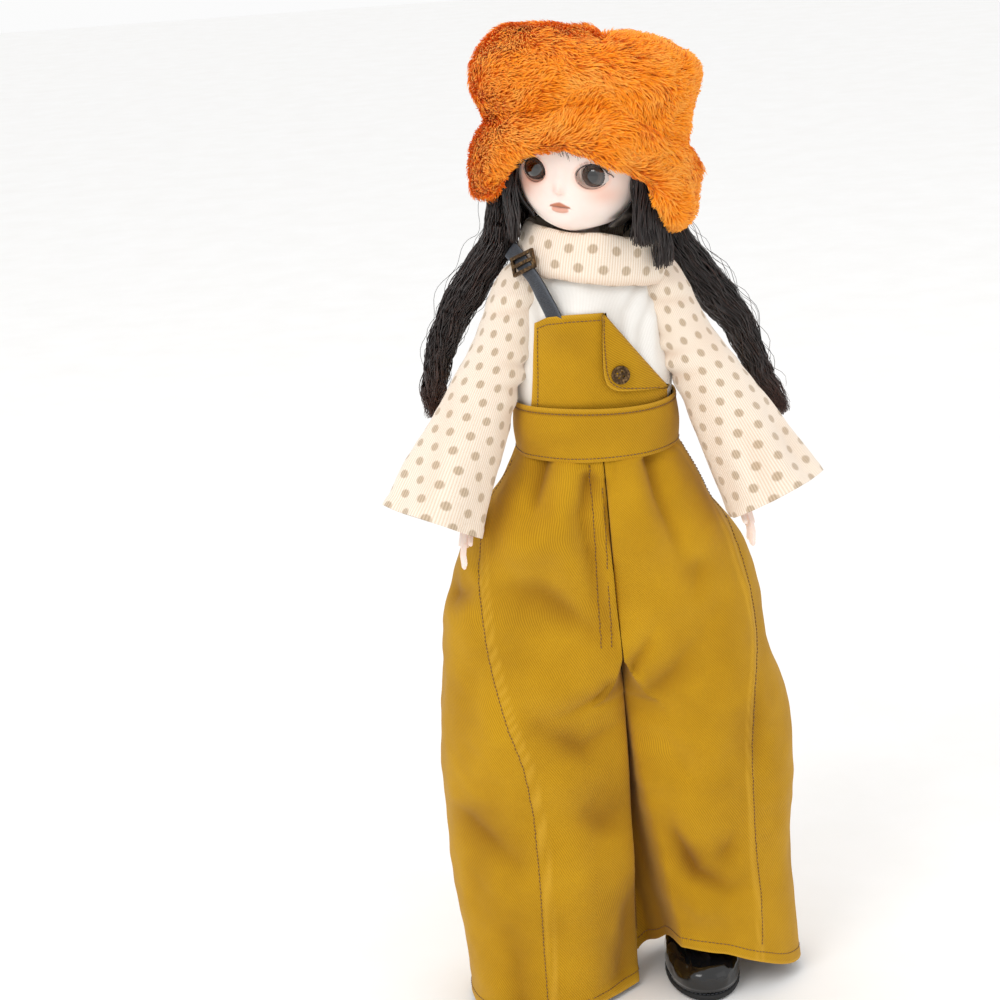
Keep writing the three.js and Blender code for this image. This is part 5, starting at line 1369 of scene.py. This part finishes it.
def make_face():
    z = np.concatenate([np.linspace(-4, -1, 14)[:-1], np.linspace(-1, 22, 118)[:-1], np.linspace(22, 40, 26)])
    turn = np.radians(np.concatenate([
        np.linspace(-200, -150, 22)[:-1], np.linspace(-150, -30, 250)[:-1], np.linspace(-30, 20, 22),
    ]))
    wide, deep, back = (v[:, None] for v in head_size(z))
    x = wide * np.cos(turn)[None]
    y = deep * np.sin(turn)[None] + back
    z = np.broadcast_to(z[:, None], x.shape)
    points = np.stack([x, y, z], -1)
    out = grid_normals(points)
    move = np.zeros_like(x)
    for side in (-1, 1):
        share = eye_share(x, z, side)
        move -= 0.9 * bell(x, z, side * 9.3, 15.4, 6.0, 4.6)
        move += 0.22 * np.exp(-((share - 1.1) / 0.1) ** 2) * smoothstep(13.5, 16, z)
        move -= 3.6 * smoothstep(1.06, 0.93, share)
        move += 0.55 * bell(x, z, side * 11, 5.5, 6, 5)
        move -= 0.3 * bell(x, z, side * 0.95, 9.0, 0.35, 0.3)
        move += 0.28 * bell(x, z, side * 1.15, 9.7, 0.65, 0.7)
    move += 1.45 * bell(x, z, 0, 10.2, 1.45, 1.5) + 0.75 * bell(x, z, 0, 13.5, 1.7, 3.6)
    mouth_line = 4.95 - 0.035 * x**2 - 0.1 * np.exp(-(x / 0.9) ** 2)
    across = np.exp(-(x / 3.1) ** 4)
    bow = np.exp(-(x / 2.7) ** 4) * (1 - 0.25 * np.exp(-(x / 0.6) ** 2))
    move += 0.62 * np.exp(-((z - mouth_line - 0.75) / 0.65) ** 2) * bow
    move += 0.78 * bell(x, z, 0, 4.0, 2.0, 0.8) - 0.42 * np.exp(-((z - mouth_line) / 0.24) ** 2) * across
    move += 0.55 * bell(x, z, 0, -1.4, 3.6, 2.2) - 0.25 * bell(x, z, 0, 2.4, 2.6, 0.8)
    points = points + out * move[..., None]
    doll = in_face(points)
    normals = grid_normals(doll)
    bow_line = mouth_line - 0.22 * np.abs(x) ** 1.3
    lip_top = smoothstep(bow_line + 1.75, bow_line + 1.35, z)
    upper = lip_top * smoothstep(mouth_line - 0.1, mouth_line + 0.15, z) * smoothstep(3.4, 3.0, np.abs(x))
    lower = smoothstep(mouth_line + 0.1, mouth_line - 0.1, z)
    lower = lower * smoothstep(2.6 + 0.1 * x**2, 3.2 + 0.1 * x**2, z)
    lower = lower * smoothstep(3.0, 2.2, np.abs(x))
    line = np.exp(-((z - mouth_line) / 0.17) ** 2) * across * 0.85
    blush = np.zeros_like(x)
    for side in (-1, 1):
        share = eye_share(x, z, side)
        blush += 0.5 * bell(x, z, side * 12.5, 9.2, 4.2, 2.8) + 0.35 * np.exp(-((share - 1.12) / 0.16) ** 2)
    blush += 0.3 * bell(x, z, 0, 10.0, 1.3, 1.0) + 0.25 * bell(x, z, 0, -2, 3, 2)
    face = shell("face_front", doll, 1.1, False, None, normals, (FACE,), {
        "blush": np.clip(blush, 0, 0.75), "lip": lower * 0.8, "upper": upper * 0.9, "line": line,
    })
    fit(face, "face_plate", "head")


def make_eye(side, word):
    columns, rows = 72, 48
    turn = np.arange(columns) * TAU / columns
    lift = np.linspace(-88, 88, rows) * math.pi / 180
    ball = np.stack([np.cos(lift)[:, None] * np.cos(turn), np.cos(lift)[:, None] * np.sin(turn),
                     np.sin(lift)[:, None] + 0 * turn], -1)
    gaze = unit(np.array([side * 0.03 - 0.02, -1, -0.02]))
    tilt = np.arccos(np.clip(ball @ gaze, -1, 1)) * EYE_BALL / IRIS
    bulge = 0.5 * np.clip(1 - tilt**2, 0, 1) ** 1.5
    points = ball * (EYE_BALL + bulge)[..., None] + [side * 9.05, -17.4, EYE_Z]
    flat = in_face(points).reshape(-1, 3)
    quads, _ = grid_faces(rows, columns, True)
    eye = mesh_object(f"glass_eye_{word}", flat, [quads, *end_caps(rows, columns)], materials=(GLASS,),
                      values={"iris": tilt.ravel()})
    fit(eye, f"eye_{word}", "head")

    def on_face(angle, grow, forward):
        """Places round the rim of the eye, in the face's frame."""
        ex = side * EYE_X + side * np.cos(angle) * EYE_WIDE * grow
        ez = EYE_Z + np.sin(angle) * EYE_HIGH * grow
        wide, deep, back = head_size(ez)
        ey = back - deep * np.sqrt(np.clip(1 - (ex / wide) ** 2, 0.02, 1)) + 0.55
        return np.stack([ex, ey - forward, ez], -1)

    arc = np.radians(np.linspace(178, -4, 44))
    grow = 0.99 + 0.3 * smoothstep(20, -4, np.degrees(arc))
    lid = on_face(arc, grow, 0.12)
    radii = 0.1 + 0.2 * np.sin(np.linspace(0.1, 1, 44) * math.pi * 0.82)
    lid_line = tubes("lid", in_face(lid)[None], radii[None], 6, (HAIR,), {"shade": [0.0], "tip": [0.0]}, 0.6)
    rng = np.random.default_rng(20 + side)
    angle = np.radians(np.linspace(6, 128, 26) + rng.normal(0, 1.5, 26))
    root = on_face(angle, 1.0, 0.1)
    length = np.linspace(1.9, 0.9, 26) * rng.uniform(0.8, 1.15, 26)
    direction = np.stack([side * np.cos(angle + 0.1), -0.75 + 0 * angle, np.sin(angle) + 0.25], -1)
    direction = unit(direction)
    s = np.linspace(0, 1, 6)
    path = root[:, None] + direction[:, None] * (length[:, None] * s)[..., None]
    path[..., 2] += (length[:, None] * 0.35) * s**2
    radii = np.linspace(0.085, 0.015, 6)[None] + 0 * length[:, None]
    lashes = tubes("lashes", in_face(path), radii, 3, (HAIR,), {"shade": np.zeros(26), "tip": np.zeros(26)})
    arc = np.radians(np.linspace(-30, -150, 24))
    low = tubes("lower_lid", in_face(on_face(arc, 1.0, 0.05))[None], np.full((1, 24), 0.06), 4, (HAIR,),
                {"shade": [0.8], "tip": [0.6]})
    drawn = join_objects(f"lashes_{word}", [lid_line, lashes, low])
    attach(drawn, "head")


# Hair
def lock(name, centre, widths, depths, count, seed, wave=1.0, radius=0.17, steps=46):
    """Strands along a bent lock: offsets in its oval section, waved together in small tresses."""
    rng = np.random.default_rng(seed)
    path = along(centre, steps)
    s = np.linspace(0, 1, steps)
    way = unit(np.gradient(path, axis=0))
    wide_way = unit(np.cross(way, [0, 1, 0]))
    deep_way = np.cross(way, wide_way)
    place_at = np.linspace(0, 1, len(widths))
    wide, deep = curve(place_at, widths, s), curve(place_at, depths, s)
    angle = rng.random(count) * TAU
    reach = rng.random(count) ** 0.42
    a, b = reach * np.cos(angle), reach * np.sin(angle)
    tress = rng.integers(0, 16, count)
    phase = tress * 1.7 + rng.normal(0, 0.25, count)
    pitch = 0.42 + 0.05 * np.cos(tress * 2.3)
    run = run_along(path)
    swing = wave * (0.35 + 0.65 * s)[None] * np.sin(run[None] * pitch[:, None] + phase[:, None])
    swing2 = wave * 0.7 * np.cos(run[None] * pitch[:, None] * 0.9 + phase[:, None] * 1.4)
    fly = rng.normal(0, 0.35, count)[:, None] * s[None] ** 3 * 2.2
    ax = a[:, None] * wide[None] + swing + fly
    bx = b[:, None] * deep[None] + swing2
    strands = path[None] + wide_way[None] * ax[..., None] + deep_way[None] * bx[..., None]
    ends = np.clip(1 - rng.random(count) ** 2.5 * 0.16, 0, 1)
    keep = np.minimum(s[None], ends[:, None])
    index = keep * (steps - 1)
    low = np.floor(index).astype(int).clip(0, steps - 2)
    part = (index - low)[..., None]
    rows = np.arange(count)[:, None]
    strands = strands[rows, low] * (1 - part) + strands[rows, low + 1] * part
    strands = strands + (way[-1] * 0.004)[None, None] * np.arange(steps)[None, :, None]
    radii = radius * (0.75 + 0.5 * rng.random(count))[:, None] * (1 - 0.75 * smoothstep(0.82, 1.0, s))[None]
    shade = np.clip(0.45 + 0.3 * np.sin(tress * 3.1) + rng.normal(0, 0.18, count), 0, 1)
    values = {"shade": shade[:, None] * np.ones(steps), "tip": np.ones((count, 1)) * s}
    return tubes(name, strands, radii, 3, (HAIR,), values)


def make_bunches():
    left = [(22, 12, 268), (24.5, 11, 256), (28, 10, 246), (34.5, 9.5, 235), (43, 9, 223), (49.5, 9, 212),
            (51.8, 9, 204), (56.5, 8, 194), (60.5, 7, 186.5)]
    right = [(-21, 12, 270), (-24.0, 11, 258), (-26.2, 10, 248), (-31.5, 9.5, 240), (-39.5, 9, 229),
             (-45.5, 9, 217), (-48.8, 8.5, 206), (-49.8, 8, 199), (-49.6, 7.5, 194)]
    for word, centre, widths, count, seed in (
        ("left", left, [4, 5, 5, 5.5, 5.6, 4.8, 3.8, 3.2, 1.6], 620, 3),
        ("right", right, [4, 4.6, 4.8, 5.4, 5.4, 4.6, 3.8, 3.0, 1.2], 580, 4),
    ):
        strands = lock("tress", centre, widths, [w * 1.05 for w in widths], count, seed, 0.9, 0.2)
        loose, deep = [w * 1.5 for w in widths], [w * 1.3 for w in widths]
        stray = lock("stray", centre, loose, deep, 26, seed + 50, 1.6, 0.09)
        made = join_objects(f"hair_bunch_{word}", [strands, stray])
        fit(made, f"hair_lock_{word}", "chest")


def curtain(turns, top, low, out_low, seed, forward=0.0):
    """Strands that fall from under the hat around the head, in the head's own frame."""
    rng = np.random.default_rng(seed)
    turns = turns + rng.normal(0, 1.2, len(turns))
    s = np.linspace(0, 1, 24)
    t = np.radians(turns)[:, None] + 0 * s
    z = top + (low[:, None] - top) * s[None]
    layer = rng.random((len(turns), 1)) ** 0.7
    ripple = 0.35 * np.sin(z * 0.45 + rng.integers(0, 9, (len(turns), 1)))
    radius_x = 22.6 + layer * 2.8 + (out_low - 22.6) * (s**2)[None] + ripple
    radius_y = radius_x * 1.04
    x = radius_x * np.cos(t)
    y = radius_y * np.sin(t) - 3 + forward * (s**2)[None]
    paths = np.stack([x, y, z], -1)
    paths[..., 0] += 0.4 * np.sin(z * 0.33 + layer * 5)
    shade = np.clip(0.35 + rng.normal(0, 0.22, len(turns)), 0, 1)
    return tubes("curtain", in_head(paths), np.full((len(turns), 24), 0.19), 3, (HAIR,),
                 {"shade": shade[:, None] * np.ones(24), "tip": np.zeros((len(turns), 24))})


def make_wig():
    turn = np.radians(np.linspace(-36, 216, 110))
    z = np.linspace(-3, 41, 44)
    wide, deep, back = (v[:, None] for v in head_size(np.clip(z + 1.5, -1, 40)))
    x, y = (wide + 1.9) * np.cos(turn)[None], (deep + 1.9) * np.sin(turn)[None] + back
    cap = np.stack([x, y, z[:, None] + 0 * turn[None]], -1)
    doll = in_head(cap)
    normals = grid_normals(doll)
    base = shell("wig_base", doll, 0.7, False, None, normals, (HAIR,),
                 {"shade": np.zeros(doll.shape[:2]), "tip": np.zeros(doll.shape[:2])})
    rng = np.random.default_rng(8)
    left = np.concatenate([np.linspace(-160, -141, 120), np.linspace(-215, -160, 190)])
    right = np.concatenate([np.linspace(-44, -22, 150), np.linspace(-22, 35, 190)])
    rear = np.linspace(35, 145, 300)
    parts = [
        base,
        curtain(left, 26.0, rng.uniform(-13, -10, len(left)), 19.5, 11, 4.0),
        curtain(right, 26.0, np.where(right < -22, -6.5, -14.0) + rng.uniform(-1.2, 1.2, len(right)), 26.0,
                12, 4.0),
        curtain(rear, 26.0, rng.uniform(-12, -8, len(rear)), 20.5, 13),
    ]
    count = 70
    start = np.linspace(-8.5, 13.5, count) + rng.normal(0, 0.5, count)
    s = np.linspace(0, 1, 14)
    drift = 2.5 + rng.normal(0, 1.2, count)
    end_z = 18.3 - 0.05 * np.abs(start - 4) + rng.normal(0, 0.7, count)
    x = start[:, None] + drift[:, None] * s[None] ** 1.6
    zz = 27.0 + (end_z[:, None] - 27.0) * s[None]
    wide, deep, back = head_size(zz)
    y = back - deep * np.sqrt(np.clip(1 - (x / wide) ** 2, 0, 1)) - 0.9 - 0.9 * np.sin(s * 2.2)[None]
    radii = np.linspace(0.16, 0.05, 14)[None] + 0 * start[:, None]
    shade = np.clip(rng.normal(0.3, 0.2, (count, 1)), 0, 1) * np.ones(14)
    bangs = tubes("bangs", in_head(np.stack([x, y, zz], -1)), radii, 3, (HAIR,),
                  {"shade": shade, "tip": np.zeros((count, 14))})
    parts.append(bangs)
    wig = join_objects("wig_hair", parts)
    fit(wig, "wig", "head")


make_face()
for side, word in SIDES:
    make_eye(side, word)
make_bunches()
make_wig()


# Shoes
SHOE_X, SHOE_Y = 25.0, -5.5
SHOE_WIDE, SHOE_LONG = 12.0, 21.0  # half the width and half the length


def make_shoe(side, word):
    middle = (side * SHOE_X, SHOE_Y)
    rows, columns = 74, 110
    s = np.linspace(0, 1, rows)
    turn = np.arange(columns) * TAU / columns
    table = np.array([[0.93, 0.95, 0], [1.0, 1.0, 0], [1.0, 0.985, 0.004], [0.955, 0.915, 0.03],
                      [0.82, 0.74, 0.1], [0.64, 0.55, 0.17]])
    shape = curve([0, 0.15, 0.4, 0.65, 0.85, 1], table, s)
    wide, deep, back = (shape[:, i][:, None] for i in range(3))
    c, t = np.cos(turn)[None], np.sin(turn)[None]
    x = np.sign(c) * np.abs(c) ** 0.9 * wide * SHOE_WIDE + middle[0]
    y = np.sign(t) * np.abs(t) ** 0.9 * deep * SHOE_LONG + middle[1] + back * 2 * SHOE_LONG
    z = 2.4 + s[:, None] * 11.6 + 0 * x
    toe = smoothstep(0, -16, y)
    z = z + toe * (0.9 * np.sin(np.clip(s, 0, 1) * math.pi)[:, None]) - 0.5 * toe * s[:, None]
    points = np.stack([x, y, z], -1)
    out = grid_normals(points, True)
    puckers = np.sin(turn * 21)[None] * 0.1 * np.exp(-((s[:, None] - 0.34) / 0.1) ** 2) * toe
    vamp_line = np.abs(x - middle[0]) - 5.8 - 0.06 * (y + 14) ** 2 * 0.2
    vamp = -0.28 * np.exp(-(vamp_line / 0.35) ** 2) * toe * smoothstep(0.4, 0.7, s[:, None])
    welt = 0.3 * np.exp(-((s[:, None] - 0.03) / 0.03) ** 2)
    dents = value_noise(points, 5.2, 111 + side) * 0.4 + value_noise(points, 2.2, 112 + side) * 0.1
    points = points + out * (puckers + vamp + welt + dents * smoothstep(0.05, 0.3, s[:, None]))[..., None]
    upper = shell(f"patent_upper_{word}", points, 1.1, True, None, grid_normals(points, True), (PATENT,))
    angle = np.arange(56) * TAU / 56
    rim = np.stack([np.cos(angle) * (SHOE_WIDE - 0.1) + middle[0],
                    np.sin(angle) * (SHOE_LONG - 0.2) + middle[1], 2.45 + 0 * angle], -1)
    stitch_ends = np.roll(rim, -1, 0) * 0.62 + rim * 0.38
    seam = tubes("welt_stitch", np.stack([rim, stitch_ends], 1), 0.17, 4, (LEATHER,))
    upper = join_objects(f"patent_upper_{word}", [upper, seam])
    fit(upper, f"shoe_upper_{word}", f"foot_{word}")

    levels = np.array([0.0, 0.12, 0.35, 0.9, 1.5, 1.9, 2.08])
    grow = np.array([-0.9, -0.3, 0.0, 0.1, 0.1, 0.0, -0.35])
    ring = np.arange(150) * TAU / 150
    tread = np.sin(ring * 46)[None] * 0.07 * np.sin(np.clip(levels / 2.1, 0, 1) * math.pi)[:, None]
    sx = np.cos(ring)[None] * (SHOE_WIDE + grow[:, None] + tread) + middle[0]
    sy = np.sin(ring)[None] * (SHOE_LONG + grow[:, None] + tread) + middle[1]
    sole_points = np.stack([sx, sy, np.broadcast_to(levels[:, None], sx.shape)], -1)
    quads, _ = grid_faces(7, 150, True)
    sole = mesh_object(f"rubber_sole_{word}", sole_points.reshape(-1, 3), [quads, *end_caps(7, 150)],
                       materials=(RUBBER,))
    fit(sole, f"shoe_sole_{word}", f"foot_{word}")


for side, word in SIDES:
    make_shoe(side, word)


def cut_cord(node, planes, body_of):
    """The cord in one piece for each body that it runs through, so that it bends with the limbs around it."""
    source = bpy.data.objects[node]
    cord = bmesh.new()
    cord.from_mesh(source.data)
    cord.transform(source.matrix_world)
    for at, way in planes:
        everything = cord.verts[:] + cord.edges[:] + cord.faces[:]
        bmesh.ops.bisect_plane(cord, geom=everything, plane_co=place(np.array([at]))[0], plane_no=way)
    bmesh.ops.triangulate(cord, faces=cord.faces[:])
    cord.verts.index_update()
    points = (np.array([v.co for v in cord.verts]) - AXIS) / MM
    faces = np.array([[v.index for v in f.verts] for f in cord.faces])
    cord.free()
    middles = points[faces].mean(1)
    bodies = np.array([body_of(p) for p in middles])
    for count, body in enumerate(sorted(set(bodies))):
        held = faces[bodies == body]
        used, numbers = np.unique(held, return_inverse=True)
        piece = mesh_object(f"{node}_{body}", points[used], [numbers.reshape(held.shape)],
                            materials=(ELASTIC,))
        if count == 0:
            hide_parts(node)
        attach(piece, body)


def arm_body(point):
    side, word = SIDES[0 if point[0] < 0 else 1]
    level = ((point - [side * SHOULDER_X, 0, SHOULDER_Z]) @ arm_turn(side))[2]
    if level > 0 or abs(point[0]) < 21:
        return "chest"
    if level > ELBOW_HIGH:
        return f"upper_arm_{word}"
    if level > ELBOW_LOW:
        return f"elbow_link_{word}"
    return f"forearm_{word}" if level > WRIST else f"hand_{word}"


def leg_body(point):
    word = "right" if point[0] < 0 else "left"
    bodies = ("neck", "chest", "pelvis", f"thigh_{word}", f"knee_link_{word}", f"shin_{word}")
    for level, body in zip(CORD_LEVELS, bodies):
        if point[2] > level:
            return body
    return f"foot_{word}"


cut_cord("elastic_arms", [
    (in_arm(np.array([[0, 0, level]]), side)[0], arm_turn(side)[:, 2])
    for side in (-1, 1) for level in (0.0, ELBOW_HIGH, ELBOW_LOW, WRIST)
], arm_body)
cut_cord("elastic_legs", [((0, 0, level), (0, 0, 1)) for level in CORD_LEVELS], leg_body)


# Floor, light and finish
def make_stage():
    floor = mesh_object(
        "floor",
        np.array([[-4000, -4000, -0.4], [4000, -4000, -0.4], [4000, 4000, -0.4], [-4000, 4000, -0.4]], float),
        [np.array([[0, 1, 2, 3]])],
        materials=(plain_material("pale_floor", "f7f6f4", "ffffff", 40, 0.9),),
    )
    world = bpy.data.worlds.new("studio")
    world.use_nodes = True
    world.node_tree.nodes["Background"].inputs[0].default_value = (1, 1, 1, 1)
    world.node_tree.nodes["Background"].inputs[1].default_value = 0.97
    bpy.context.scene.world = world
    bpy.context.scene.view_settings.view_transform = "Standard"
    for name, place_at, size, power in (
        ("key", (-620, -760, 980), 520, 4.0),
        ("fill", (820, -700, 520), 700, 0.5),
        ("top", (80, 260, 1250), 700, 1.2),
    ):
        data = bpy.data.lights.new(name, "AREA")
        data.size = size * MM
        data.energy = power
        data.color = (1, 0.985, 0.96)
        lamp = bpy.data.objects.new(name, data)
        stand = Vector(place(place_at))
        aim = Vector(place((0, 0, 150))) - stand
        lamp.rotation_euler = aim.to_track_quat("-Z", "Y").to_euler()
        lamp.location = stand
        bpy.context.scene.collection.objects.link(lamp)


make_stage()

NODE_PAINT = (
    ("shoe_upper", PATENT), ("shoe_sole", RUBBER), ("elastic", ELASTIC), ("neck_hook", STEEL),
    ("bib_button", BRONZE), ("strap_buckle", BRONZE), ("strap", LEATHER), ("hair", HAIR), ("wig", HAIR),
    ("fur_hat", FUR), ("sweater", JERSEY), ("sleeve", KNIT), ("bib", TWILL), ("waistband", TWILL),
)


def paint_nodes():
    """Every node that is still shown gets its finish, and soft normals where its form is round."""
    for name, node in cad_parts.items():
        if node.hide_render:
            continue
        paint = next((p for start, p in NODE_PAINT if name.startswith(start)), RESIN)
        node.data.materials.clear()
        node.data.materials.append(paint)
        node.data.polygons.foreach_set("use_smooth", np.ones(len(node.data.polygons), bool))


paint_nodes()
